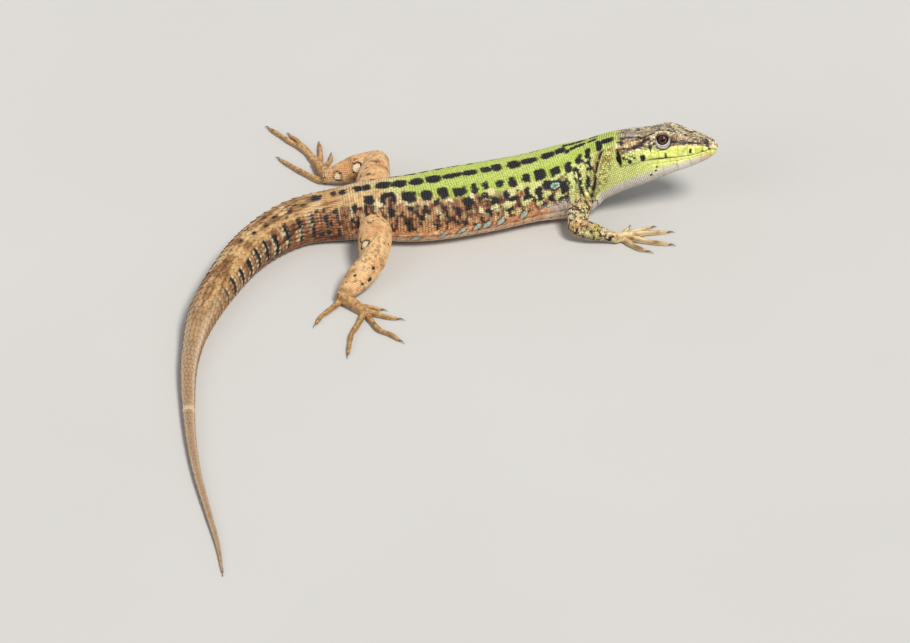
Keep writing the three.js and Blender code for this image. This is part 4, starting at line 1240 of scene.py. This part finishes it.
shields = {
    "high": 0.15, "gap": 0.045, "round": 2,
    # outlines on one side: distance behind the snout, share of the half width; halves are mirrored
    "middle": [
        [(2.1, 0), (2.35, 0.3), (3.3, 0.6), (4.4, 0.36), (4.9, 0)],  # frontonasal
        [(6.4, 0), (6.6, 0.16), (7.2, 0.34), (8.8, 0.27), (10.7, 0.32), (11.3, 0)],  # frontal
        [(12.9, 0), (13.3, 0.11), (15.0, 0.14), (15.6, 0.06), (15.6, 0)],  # interparietal
        [(15.6, 0), (15.6, 0.08), (16.6, 0.17), (17.3, 0.12), (17.4, 0)],  # occipital
    ],
    "crown": [
        [(1.0, 0.02), (1.0, 0.66), (1.7, 0.76), (2.35, 0.6), (2.35, 0.3), (2.1, 0.02)],  # supranasal
        [(4.9, 0.02), (4.4, 0.36), (3.3, 0.6), (4.7, 0.72), (6.3, 0.64), (7.1, 0.36), (6.6, 0.17),
         (6.4, 0.02)],  # prefrontal
        [(6.4, 0.63), (7.2, 0.37), (7.9, 0.36), (7.7, 0.66)],  # supraoculars, front to back
        [(7.9, 0.36), (8.8, 0.29), (9.7, 0.32), (9.7, 0.67), (7.8, 0.67)],
        [(9.7, 0.32), (10.7, 0.35), (11.4, 0.42), (11.6, 0.66), (9.7, 0.67)],
        [(11.5, 0.42), (12.3, 0.5), (12.6, 0.64), (11.7, 0.66)],
        [(11.4, 0.02), (10.8, 0.33), (11.5, 0.41), (12.4, 0.5), (13.0, 0.43), (13.35, 0.13),
         (12.9, 0.02)],  # frontoparietal
        [(13.45, 0.13), (13.1, 0.44), (12.7, 0.56), (12.9, 0.76), (15.0, 0.82), (17.0, 0.8), (18.0, 0.6),
         (17.9, 0.3), (17.4, 0.14), (16.6, 0.19), (15.5, 0.12)],  # parietal
        [(2.5, 0.62), (3.4, 0.62), (4.7, 0.74), (4.6, 0.83), (2.9, 0.8)],
    ],
    # outlines on the side: distance, degrees from the crown
    "side": [
        [(2.65, 48), (3.3, 46), (3.5, 70), (2.7, 72), (2.5, 58)],  # behind the nostril
        [(3.35, 46), (4.7, 45), (5.0, 72), (3.55, 71)],  # loreals
        [(4.75, 45), (6.3, 40), (7.0, 48), (7.3, 62), (7.3, 77), (5.1, 74)],
        [(6.5, 33), (7.8, 34), (7.9, 39), (6.9, 42)],  # brow plates
        [(7.85, 34), (9.2, 34), (9.2, 38), (7.95, 39)],
        [(9.25, 34), (10.5, 34), (10.5, 38), (9.25, 38)],
        [(10.55, 34), (11.7, 33), (11.9, 39), (10.55, 38)],
        [(11.75, 33), (12.7, 32), (12.9, 39), (11.95, 40)],
        [(13.1, 42), (15.0, 49), (15.2, 56), (13.2, 52)],  # upper temple
        [(15.1, 49), (17.1, 47), (17.4, 55), (15.3, 56)],
        [(14.6, 66), (15.4, 64), (16.2, 67), (16.3, 75), (15.4, 79), (14.5, 76)],  # cheek plate
        [(18.2, 55), (19.3, 57), (19.5, 63), (18.5, 62)],  # over the ear
    ],
    "lipTop": [68, 67, 72, 74, 77, 86, 78, 79],
    "lipAt": [1.0, 2.5, 3.9, 5.4, 7.2, 11.3, 13.0, 14.7],
    "jawAt": [1.0, 2.7, 4.7, 6.9, 9.2, 11.8, 14.2],
    "jawDeep": [6, 7, 8, 8.5, 8.5, 8, 6.5],
    "chinAt": [1.0, 2.9, 5.2, 7.9, 10.9, 13.4],
    "chinTo": [179, 179, 179, 150, 136],
    "lipGap": 1.3,
    # the two caps at the nose: degrees of their hind and front edges, depth of the seam
    "nose": [((-88, -45, 0, 45, 88), (90, 0, -90), 0.6), ((92, 135, 180, 225, 268), (268, 180, 92), 0.34)],
}
collar = {"at": 26.0, "long": 1.5, "edges": [118, 131, 144, 157, 170], "lift": 0.16}


def crownOutline(corners):  # shares of the half width turned into degrees
    return [(at, float(crownAngle(at, share))) for at, share in corners]


def listShields():  # outline in distance and degrees, lift of the hind edge, depth of the seam
    found = []
    for half in shields["middle"]:
        other = [(at, -share) for at, share in reversed(half) if share > 0]
        found.append((crownOutline(half + other), 0.0, 1.0))
    gap, depth = shields["lipGap"], dict(zip(shields["jawAt"], shields["jawDeep"]))

    def beside(at, off):  # a corner that far from the edge of the mouth
        return at, float(mouthLine(at)) + off
    sides = list(shields["side"])
    lips = list(zip(shields["lipAt"], shields["lipTop"]))
    for (a, topA), (b, topB) in zip(lips, lips[1:]):
        sides.append([(a, topA), (b, topB), beside(b, -gap), beside((a + b) / 2, -gap), beside(a, -gap)])
    for a, b in zip(shields["jawAt"], shields["jawAt"][1:]):
        sides.append([beside(a, gap), beside((a + b) / 2, gap), beside(b, gap), beside(b, gap + depth[b]),
                      beside(a, gap + depth[a])])
    for a, b, to in zip(shields["chinAt"], shields["chinAt"][1:], shields["chinTo"]):
        deep = np.interp([a, b], shields["jawAt"], shields["jawDeep"]) + gap + 0.5
        sides.append([beside(a, float(deep[0])), beside(b, float(deep[1])), (b + 0.5, to), (a + 0.3, to)])
    for listed, seam in (([crownOutline(shape) for shape in shields["crown"]], 1.0), (sides, 0.2)):
        for side in (1, -1):
            found += [([(at, turn * side) for at, turn in shape], 0.0, seam) for shape in listed]
    for upper, tip, seam in shields["nose"]:
        found.append(([(0.95, turn) for turn in upper] + [(-0.3, turn) for turn in tip], 0.0, seam))
    at, end = collar["at"], collar["at"] + collar["long"]
    edges = collar["edges"] + [360 - e for e in reversed(collar["edges"])]
    for a, b in zip(edges, edges[1:]):
        mid = (a + b) / 2
        corners = [(at, a), (at - 0.2, mid), (at, b), (end, b - 1), (end + 0.35, mid), (end, a + 1)]
        found.append((corners, collar["lift"], 0.6))
    return found


def outlineRing(corners, step, passes):
    corners = np.array(corners, float)
    corners[:, 1] = np.radians(corners[:, 1])
    where = headSurface(*corners.T)
    length = np.linalg.norm(np.roll(where, -1, 0) - where, axis=1)
    pieces = []
    for start, end, run in zip(corners, np.roll(corners, -1, 0), length):
        count = max(2, int(run / step))
        pieces.append(start + (end - start) * (np.arange(count) / count)[:, None])
    ring = np.concatenate(pieces)
    for _ in range(passes):
        ring = (np.roll(ring, 1, 0) + 2 * ring + np.roll(ring, -1, 0)) / 4
    return ring


# Inset, share of the height and rim of a shield's edge, then the rings inside it
shieldProfile = [(0.0, -0.9, 1.0), (0.0, 0.25, 1.0), (0.06, 0.72, 0.7), (0.16, 0.95, 0.2)]
shieldInner = [0.84, 0.68, 0.52, 0.36, 0.2]


headSpan, bellySpan = (0, 30), (20, 84)  # distances that the pieces unwrap over


def buildShields(listed, high, gap, step=0.16, passes=2, span=headSpan, vary=0.08, seed=3):
    columns = {key: [] for key in ("flat", "height", "rim", "local", "home", "own", "triangles")}
    dice, start = np.random.default_rng(seed), 0
    for corners, lift, seam in listed:
        ring = outlineRing(corners, step, passes)
        middle, count = ring.mean(0), len(ring)
        halfSize = np.ptp(ring, axis=0) / 2 + 1e-6
        reach = np.linalg.norm(headSurface(*ring.T) - headSurface(*middle), axis=1)
        levels = [(np.clip(1 - (gap + inset) / reach, 0.12, 1), h, r) for inset, h, r in shieldProfile]
        levels += [(levels[-1][0] * share, 1.0, 0.0) for share in shieldInner]
        for scale, h, r in levels + [(np.zeros(1), 1.0, 0.0)]:
            here = middle + (ring[:len(scale)] - middle) * scale[:, None]
            off = here - middle
            columns["flat"].append(here)
            rise = lift * np.clip(off[:, 0] / halfSize[0], -0.4, 1) * (h > 0)
            columns["height"].append(h * high + rise)
            columns["rim"].append(np.full(len(scale), r * seam))
            columns["local"].append(off / halfSize / 2)
        top, tip = start + (len(levels) - 1) * count, start + len(levels) * count
        k = np.arange(count)
        columns["triangles"] += [halves(gridQuads(len(levels), count)) + start,
                                 np.stack([top + k, top + (k + 1) % count, np.full(count, tip)], 1)]
        columns["home"].append(np.tile(middle, (tip + 1 - start, 1)))
        columns["own"].append(np.full(tip + 1 - start, dice.uniform(1 - vary, 1 + vary)))
        start = tip + 1
    c = {key: np.concatenate(value) for key, value in columns.items()}
    roots, normals = ontoSkin(headSurface(*c["flat"].T))
    points, triangles = roots + normals * c["height"][:, None], c["triangles"]
    # faces are turned outwards
    a, b, d = (points[triangles[:, i]] for i in range(3))
    flip = dot(np.cross(b - a, d - a), normals[triangles[:, 0]]) < 0
    triangles[flip] = triangles[flip][:, ::-1]
    return {"points": points, "triangles": triangles, "rim": c["rim"],
            "tint": paint(roots) * c["own"][:, None],
            "patch": unwrapBody(*c["home"].T, span) + c["local"] * patchSize}


def insideOutline(distance, degrees, corners):  # which places lie inside an outline
    corners = np.array(corners, float)
    turned = (degrees - corners[:, 1].mean() + 180) % 360 - 180 + corners[:, 1].mean()
    inside = np.zeros(len(distance), bool)
    for (x1, y1), (x2, y2) in zip(corners, np.roll(corners, -1, 0)):
        crosses = (y1 > turned) != (y2 > turned)
        with np.errstate(divide="ignore", invalid="ignore"):
            at = (x2 - x1) * (turned - y1) / (y2 - y1) + x1
        inside ^= crosses & (distance < at)
    return inside


headShieldList = listShields()


def uncovered(places):  # places free of shields, eyes, ears and the mouth
    distance, degrees = places[:, 0], np.degrees(places[:, 1])
    free = (np.abs(np.abs(degrees) - mouthLine(distance)) >= 1.2) | (distance >= mouth["corner"] + 0.4)
    for corners, _, _ in headShieldList:
        free &= ~insideOutline(distance, degrees, corners)
    where = bodyPoint(distance, places[:, 1])
    for side in (1, -1):
        deep, wide, upward = aroundEye(where, side)
        free &= ~((wide < lidRim(upward) + 0.1) & (deep > 0))
        free &= earReach(where, side, 0.16, 0.1) >= 1
    return places[free]


# Spacing along and across, then each scale's length, width and height
headScales = {"temple": (0.54, 0.58, 0.57, 0.58, 0.12), "throat": (0.42, 0.44, 0.42, 0.42, 0.12),
              "brow": (0.3, 0.3, 0.3, 0.3, 0.1), "neck": (0.44, 0.42, 0.45, 0.45, 0.15)}


def sideDegrees(places):
    return np.abs(np.degrees(places[:, 1]))


def makeHeadCoat():
    shield = buildShields(headShieldList, shields["high"], shields["gap"], passes=shields["round"])
    coatPiece("headShields", [shield], plateMaterial)
    # temples and cheeks: small flat plates
    row, across, *size = headScales["temple"]
    places = hexRows(11.2, 20.2, row, across, -90, 90)
    turn = sideDegrees(places)
    places = uncovered(places[(turn > 38) & (turn < 89)])
    plates = plantOnBody(places, "plate", *size, tilt=0.0, span=headSpan, seed=12, jitter=0.04)
    # throat: fine grains in slanting rows
    row, across, *size = headScales["throat"]
    places = hexRows(11.5, 26.0, row, across, 90, 270)
    places[:, 1] += (places[:, 0] - 11.5) * 0.02
    turn = 180 - np.abs(180 - np.degrees(places[:, 1]))
    places = uncovered(places[(turn > 89) & (places[:, 0] < neckFoldAt(turn) + 0.2)])
    grains = plantOnBody(places, "bead", *size, tilt=0.0, span=headSpan, vary=0.12, seed=13)
    # snout and brow gaps, and the ring of grains round each eye
    row, across, *size = headScales["brow"]
    places = hexRows(6.4, 13.2, row, across, -84, 84)
    places = uncovered(places[sideDegrees(places) > 30])
    rings = plantOnBody(places, "bead", *size, tilt=0.0, span=headSpan, vary=0.12, seed=14)
    coatPiece("headGrains", [plates, grains, rings], scaleMaterial)


def makeNeckCoat():
    row, across, *size = headScales["neck"]
    places = hexRows(17.4, 27.0, row, across, -112, 112)
    turn = sideDegrees(places)
    keep = (places[:, 0] > 20.1) | (turn < 50)
    keep &= (turn < 89) | (places[:, 0] > neckFoldAt(turn) + 0.2)
    planted = plantOnBody(uncovered(places[keep]), "bead", *size, tilt=0.0, span=headSpan, vary=0.12,
                          seed=15)
    coatPiece("neckGrains", [planted], scaleMaterial)


# Coat of the trunk, belly and tail
trunkScales = {"row": 0.52, "wide": 0.43, "high": 0.15, "first": 27.0, "last": 80.0, "lowest": 98,
               "span": (20.0, 80.0)}


def makeTrunkCoat():
    t = trunkScales
    places = hexRows(t["first"], t["last"], t["row"], t["wide"], -t["lowest"], t["lowest"])
    onLeft = places[:, 1] >= 0
    for name, half, seed in (("trunkGrains_left", onLeft, 5), ("trunkGrains_right", ~onLeft, 6)):
        planted = plantOnBody(places[half], "bead", t["row"] * 1.18, t["wide"] * 1.28, t["high"],
                              tilt=0.0, span=t["span"], seed=seed, jitter=0.075)
        coatPiece(name, [planted], scaleMaterial)


bellyScales = {"step": 1.95, "slant": 0.05, "from": 27.6, "to": 76.5, "high": 0.12, "lift": 0.05,
               "rows": [(98, 112), (112, 127), (127, 145), (145, 162), (162, 179.5)]}


def makeBellyCoat():
    b = bellyScales
    listed = []
    for at in np.arange(b["from"], b["to"], b["step"]):
        for low, high in b["rows"]:
            end, mid = at + b["step"], (low + high) / 2
            lean = b["slant"] * (high - low) / 2 if low < 100 else 0
            corners = [(at + lean, low), (at - lean, high), (end + 0.1 - lean, high), (end + 0.34, mid),
                       (end + 0.1 + lean, low)]
            for side in (1, -1):
                listed.append(([(x, turn * side) for x, turn in corners], b["lift"], 0.9))
    plates = buildShields(listed, b["high"], gap=0.03, step=0.3, passes=2, span=bellySpan, vary=0.06, seed=8)
    hips = hexRows(b["to"] + 0.3, 80.0, 0.66, 0.7, 99, 261)
    vent = plantOnBody(hips, "plate", 0.7, 0.72, b["high"], tilt=0.03, span=bellySpan, vary=0.08, seed=9)
    coatPiece("bellyPlates", [plates, vent], plateMaterial)


def makeTailCoat():
    rows = []
    for index, (at, count) in enumerate(zip(tailRings, ringCounts)):
        around = float(girthAround(np.array(at)))
        step = float(np.append(tailRings, bodyLength)[index + 1] - at)
        sizes = [np.full(count, v) for v in (at + step * 0.5, 0, step * 1.22, around / count * 1.06)]
        rows.append(np.stack(sizes, 1))
        rows[-1][:, 1] = (np.arange(count) + 0.5 * (index % 2)) / count * 2 * math.pi - math.pi
    rows = np.concatenate(rows)
    rows = rows[rows[:, 0] < bodyLength - 1.6]
    at, _, long, wide = rows.T
    high = (0.1 + 0.12 * ease(-at, -180, -90)) * (0.75 + 0.25 * ease(at, 80, 92))
    span = tailScales["from"], bodyLength
    planted = plantOnBody(rows[:, :2], "keeled", long, wide, high, tilt=0.07, span=span, seed=7,
                          local=0.92)
    coatPiece("tailScales", [planted], scaleMaterial)


# Coat of the legs and toes
legScales = {"upper": 0.42, "lower": 0.42, "sole": 0.4, "toe": 0.42, "high": 0.12, "tilt": 0.1,
             "bare": 0.3, "apart": 0.36}


def limbRows(limb):  # distance, angle, length and width of each scale
    size, onToe = legScales[limb["part"]], limb["part"] == "toe"
    rows = []
    for k, at in enumerate(np.arange(size * 0.4, limb["at"][-1] - size * 0.2, size * 0.92)):
        around = 2 * math.pi * float(np.interp(at, limb["at"], limb["radius"]))
        count = 6 if onToe else max(8, int(around / size))
        angles = (np.arange(count) + (0.0 if onToe else 0.5 * (k % 2))) / count * 2 * math.pi
        rows.append(np.stack([np.full(count, v) for v in (at, 0, size * 1.12, around / count * 1.1)], 1))
        rows[-1][:, 1] = angles
    return np.concatenate(rows)


def limbPatch(index, at, angle):  # where a scale's root lies on the unwrap of the legs
    u = index % 6 + at / (limbs[index]["at"][-1] * 1.1)
    return 0.02 + np.stack([u, index // 6 + angle / 7], 1) / 6.2


def plantOnLimb(index, limb, seed):
    rows = limbRows(limb)
    wanted = limbPoint(limb, rows[:, 0], rows[:, 1])
    wanted[:, 2] = np.maximum(wanted[:, 2], skinMake["lowest"])
    roots, normals = ontoSkin(wanted)
    near = np.linalg.norm(roots - wanted, axis=1) < offSkin["limb"]
    rows, roots, normals = rows[near], roots[near], normals[near]
    tangent = np.stack([np.interp(rows[:, 0], limb["at"], limb["tangent"][:, k]) for k in range(3)], 1)
    shape = "keeled" if limb["part"] == "toe" else "plate"
    planted = plantScales(shape, roots, normals, tangent, rows[:, 2], rows[:, 3], legScales["high"],
                          legScales["tilt"])
    planted["tint"] = tinted(planted, vary=0.12, seed=seed)
    planted["patch"] = patchesOf(planted, limbPatch(index, rows[:, 0], rows[:, 1]))
    return planted


def plantOnKnees(owner, parts, place):  # plates where the rows of two limbs leave the skin bare between them
    which, share, angle, ratio, offBody = place
    mine = np.array([limb["owner"] == owner and limb["part"] != "toe" for limb in limbs])[which]
    rows = np.nonzero(mine & (ratio < 1.5) & (offBody > 1.12) & (skinPoints[:, 2] > 0.14))[0]
    taken = np.concatenate([part["roots"] for part in parts])
    tree = KDTree(len(taken))
    for i, root in enumerate(taken.tolist()):
        tree.insert(root, i)
    tree.balance()
    chosen = []
    for r in rows:
        if tree.find(skinPoints[r].tolist())[2] <= legScales["bare"]:
            continue
        off = np.linalg.norm(skinPoints[chosen] - skinPoints[r], axis=1)
        if not chosen or off.min() > legScales["apart"]:
            chosen.append(r)
    if not chosen:
        return []
    tangent, home = [], []
    for r in chosen:
        limb = limbs[which[r]]
        tangent.append(limb["tangent"][int(share[r] * (len(limb["tangent"]) - 1))])
        at = share[r:r + 1] * limb["at"][-1]
        home.append(limbPatch(which[r], at, angle[r:r + 1] % (2 * math.pi)))
    size = legScales["upper"]
    planted = plantScales("plate", skinPoints[chosen], skinNormals[chosen], np.array(tangent), size * 1.12,
                          size * 1.1, legScales["high"], legScales["tilt"])
    planted["tint"] = tinted(planted, vary=0.12, seed=31)
    planted["patch"] = patchesOf(planted, np.concatenate(home))
    return [planted]


def makeLegCoat():
    place = (*limbPlace(skinPoints), bodyPlace(skinPoints)[2])
    for owner in sorted(legs):
        parts = [plantOnLimb(k, limb, 20 + k) for k, limb in enumerate(limbs) if limb["owner"] == owner]
        coatPiece("legScales_" + owner, parts + plantOnKnees(owner, parts, place), scaleMaterial)


# Eyes, lids and claws
eyeball = {"radius": 1.27, "pupil": 30.0, "ring": 33.0, "iris": 58.0, "around": 64}


def makeEye(name, side):
    ball = eyeball
    centre, gaze = gazeOf(side)
    turn = np.array(Vector(gaze.tolist()).to_track_quat("Z", "Y").to_matrix())
    degrees = np.r_[np.linspace(4, ball["pupil"] - 0.4, 7), np.linspace(ball["pupil"] + 0.4, ball["ring"], 4),
                    np.linspace(ball["ring"] + 1.5, ball["iris"], 18), np.linspace(ball["iris"] + 4, 176, 22)]
    spin = np.arange(ball["around"]) / ball["around"] * 2 * math.pi
    polar = np.radians(degrees)[:, None]
    wide, deep = np.sin(polar), np.cos(polar)
    rings = np.stack([wide * np.cos(spin), wide * np.sin(spin), deep + 0 * spin], -1)
    local, cells, ends = tubeShell(rings, [0, 0, 1], [0, 0, -1])
    local = local * ball["radius"]
    points = local @ turn.T + centre
    angle = np.degrees(np.arccos(np.clip(local[:, 2] / ball["radius"], -1, 1)))
    around = np.arctan2(local[:, 1], local[:, 0])
    rays = grainNoise(np.stack([np.cos(around) * 9, np.sin(around) * 9, angle / 40], 1), 1.0, 44)
    warm = 0.5 - 0.5 * (unit(points - centre) @ onSpine(upLine, eye["at"]))
    tint = layers("iris", ("irisRing", (rays - 0.42) * 2 * ease(warm, 0.35, 0.8)),
                  ("pupil", ease(angle, 42, 56) * 0.9),
                  ("irisRing", (angle > ball["pupil"]) * (angle < ball["ring"] + 1) * 0.45),
                  ("pupil", (angle < ball["pupil"]) * 1.0))
    faces = np.vstack([halves(cells[:, [0, 3, 2, 1]]), ends[:, [0, 2, 1]]])
    made = dress(makeMesh(name, points, faces, tint), eyeMaterial)
    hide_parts(name.replace("Ball", ""))


def lidColour(points, share, low):  # ochre above with painted brow shade at its inner edge, white with a dark line below, black at the margin, and painted shade along the outer edge, strongest below
    fine = grainNoise(points, 0.35, 45)
    # the upper lid's inner band is darkened as painted shade under the brow
    upper = layers("loreal", ("crownDark", (0.45 - fine) * 5), ("crownDark", fade(share, 0.3, 0.42) * 0.8))
    white = mixIn("lid", "lilac", ease(share, 0.52, 0.6) * 0.9)
    margin = 0.1 + 0.1 * (1 - low)
    return layers(upper, (white, ease(low + (fine - 0.5) * 0.1, 0.4, 0.56)),
                  ("black", hump(share, 0.5, 0.1) * ease(low, 0.5, 0.7)),
                  ("black", fade(share, margin, margin + 0.1)),
                  # painted shade where the lid meets the skin, strongest below
                  ("black", ease(share, 0.8, 0.88) * (0.5 + 0.5 * ease(low, 0.4, 0.6))))


def makeLid(name, side):
    centre, gaze = gazeOf(side)
    up = onSpine(upLine, eye["at"])
    up = unit(up - gaze * (up @ gaze))
    fore = np.cross(gaze, up) * side
    count, over = lid["around"], lid["over"]
    spin = np.arange(count) / count * 2 * math.pi  # 0 is the top, a quarter turn is the side
    down = (1 - np.cos(spin)) / 2
    ring = np.cos(spin)[:, None] * up + np.sin(spin)[:, None] * fore
    inner = lid["inner"] - 0.04 * np.cos(spin) + lid["wider"] * np.sin(spin) ** 2
    outer = lidRim(np.cos(spin))
    skinEdge, _ = ontoSkin(centre + ring * outer[:, None] + gaze * 0.9)
    skinDeep = (skinEdge - centre) @ gaze
    shares = np.linspace(0, 1, lid["rings"])
    # the margin is tucked in at the ball and the outer edge into the skin
    tuck = inner * 1.02
    rows = [centre + ring * tuck[:, None] + gaze * (np.sqrt(over**2 - tuck**2) - 0.3)[:, None]]
    for share in shares:
        radius = inner + (outer - inner) * share
        sphere = np.sqrt(np.maximum(over**2 - np.minimum(radius, over * 0.96) ** 2, 0))
        blend = ease(share, 0.25, 1.0)
        deep = sphere * (1 - blend) + (skinDeep - 0.04) * blend
        deep = deep + (lid["thick"] * (0.35 + 0.65 * down)) * np.sin(math.pi * share**0.75)
        rows.append(centre + ring * radius[:, None] + gaze * deep[:, None])
    rows.append(rows[-1] - gaze * 0.15 + ring * 0.05)
    points = np.concatenate(rows)
    tint = lidColour(points, np.repeat(np.r_[0, shares, 1], count), np.tile(down, len(rows)))
    faces = halves(gridQuads(len(rows), count))[:, ::-side]
    dress(makeMesh(name, points, faces, tint), skinMaterial)
    beads = []
    for order, share in enumerate(lid["beadRings"]):
        row = rows[1 + int(share * (lid["rings"] - 1))]
        length = np.linalg.norm(np.roll(row, -1, 0) - row, axis=1).sum()
        number = int(length / lid["bead"])
        at = (np.arange(number) + 0.5 * (order % 2)) / number * count
        index = at.astype(int) % count
        f = (at - at.astype(int))[:, None]
        roots = row[index] * (1 - f) + row[(index + 1) % count] * f
        out = unit(unit(roots - centre) + gaze * 0.5)
        lie = unit(np.cross(gaze, roots - centre))
        planted = plantScales("bead", roots, out, lie, lid["bead"] * 1.05, lid["bead"] * 1.1, 0.07)
        low = np.repeat(down[index], planted["each"])
        planted["tint"] = lidColour(planted["points"], np.full(len(low), share), low)
        planted["patch"] = patchesOf(planted, np.stack([0.1 + 0.8 * at / count, np.full(number, share)], 1))
        beads.append(planted)
    coatPiece(name.replace("Lid", "LidGrains"), beads, scaleMaterial)


clawHorn = {"sunk": 0.12, "longer": 0.15, "slim": 0.74, "taper": 0.75, "point": 0.02, "tall": 1.05,
            "flat": 0.72, "tipHigh": 0.14, "fall": 1.7, "lowest": 0.01}


def makeClaw(toe, name):
    h = clawHorn
    end, up = toe["line"][-1], np.array([0, 0, 1.0])
    heading = unit(toe["tangent"][-1] * np.array([1, 1, 0]))
    root = end + heading * (toeSize["tip"] * 0.8 - h["sunk"])
    side = np.cross(up, heading)
    spin = np.arange(clawSize["around"])[:, None] / clawSize["around"] * 2 * math.pi
    rings = []
    for t in np.linspace(0, 1, clawSize["rings"]):
        rise = clawSize["arch"] * math.sin(math.pi * t) - (end[2] - h["tipHigh"]) * t ** h["fall"]
        middle = root + heading * (clawSize["long"] + h["longer"]) * t + up * rise
        thick = clawSize["thick"] * h["slim"] * (1 - t) ** h["taper"] + h["point"]
        rings.append(middle + np.cos(spin) * up * thick * h["tall"] + np.sin(spin) * side * thick * h["flat"])
    rings = np.array(rings)
    rings[..., 2] = np.maximum(rings[..., 2], h["lowest"])
    poles = rings[0].mean(0) - heading * 0.1, rings[-1].mean(0) + heading * 0.04
    shell, cells, ends = tubeShell(rings, *poles)
    return makeMesh(name, shell, np.vstack([halves(cells), ends])[:, ::-1])


def makeClaws():
    for owner in sorted(legs):
        toes = [limb for limb in limbs if limb["owner"] == owner and limb["part"] == "toe"]
        for number, toe in enumerate(toes, 1):
            claw = dress(makeClaw(toe, "clawHorn_%s_%d" % (owner, number)), hornMaterial)
            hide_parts("%s_claw_%d" % (owner, number))


eyeMaterial = eyeFinish()
hornMaterial = rampFinish("horn", 1400, (0.075, 0.05, 0.03), (0.3, 0.2, 0.12), {"Roughness": 0.3})
drumMaterial = rampFinish("earDrum", 2600, (0.010, 0.008, 0.007), (0.02, 0.014, 0.011),
                          {"Roughness": 0.7, "Specular IOR Level": 0.05})
for node in ("ear_left", "ear_right"):
    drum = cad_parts[node]
    drum.data.materials.clear()
    drum.data.materials.append(drumMaterial)

makeHeadCoat()
makeNeckCoat()
makeTrunkCoat()
makeBellyCoat()
makeTailCoat()
makeLegCoat()
for sideName, side in (("left", 1), ("right", -1)):
    makeEye("eyeBall_" + sideName, side)
    makeLid("eyeLid_" + sideName, side)
makeClaws()
print("coat, eyes and claws are on")


# Stage, light and camera
stage = {"size": 9.0, "low": (0.50, 0.49, 0.47), "high": (0.55, 0.54, 0.52)}  # metres, and two greys


def makeStage():
    size = stage["size"]
    mesh = bpy.data.meshes.new("floor")
    corners = [(x * size, y * size, 0) for x, y in ((-1, -1), (1, -1), (1, 1), (-1, 1))]
    mesh.from_pydata(corners, [], [(0, 1, 2, 3)])
    mesh.materials.append(rampFinish("paleFloor", 9.0, stage["low"], stage["high"], {"Roughness": 0.85}))
    addObject("floor", mesh)


studio = {  # direction, strength, softness in degrees and colour of each light
    "key": ((0.2, -0.52, 0.78), 3.4, 17, (1.0, 0.97, 0.92)),
    "fill": ((-0.7, -0.37, 0.5), 0.52, 36, (0.94, 0.97, 1.0)),
}
skyLight = {"Color": (0.93, 0.95, 1.0, 1), "Strength": 0.45}


def makeLight(name, place, strength, soft, colour):
    data = bpy.data.lights.new(name, "SUN")
    data.energy = strength
    data.angle = math.radians(soft)
    data.color = colour
    lamp = addObject(name, data)
    lamp.location = place
    lamp.rotation_euler = (-Vector(place)).to_track_quat("-Z", "Y").to_euler()


for lightName, light in studio.items():
    makeLight(lightName, *light)
world = bpy.data.worlds.new("studio")
world.use_nodes = True
feed(world.node_tree, world.node_tree.nodes["Background"], skyLight)
bpy.context.scene.world = world
bpy.context.scene.view_settings.view_transform = "Standard"

view = {"azimuth": -13, "elevation": 35, "lens": 800, "pixelsPerMm": 4.8, "frameWide": 910,
        "clip": (0.05, 20)}


def makeCamera():
    data = bpy.data.cameras.new("camera")
    data.lens = view["lens"]
    data.clip_start, data.clip_end = view["clip"]
    away = view["frameWide"] / view["pixelsPerMm"] * mm * view["lens"] / data.sensor_width
    a, e = math.radians(view["azimuth"]), math.radians(view["elevation"])
    back = Vector((math.sin(a) * math.cos(e), -math.cos(a) * math.cos(e), math.sin(e)))
    camera = addObject("camera", data)
    camera.location = Vector((body["standAt"][0] * mm, body["standAt"][1] * mm, 0)) + back * away
    camera.rotation_euler = (-back).to_track_quat("-Z", "Y").to_euler()
    bpy.context.scene.camera = camera


makeStage()
makeCamera()
print("floor, lights and camera are set")
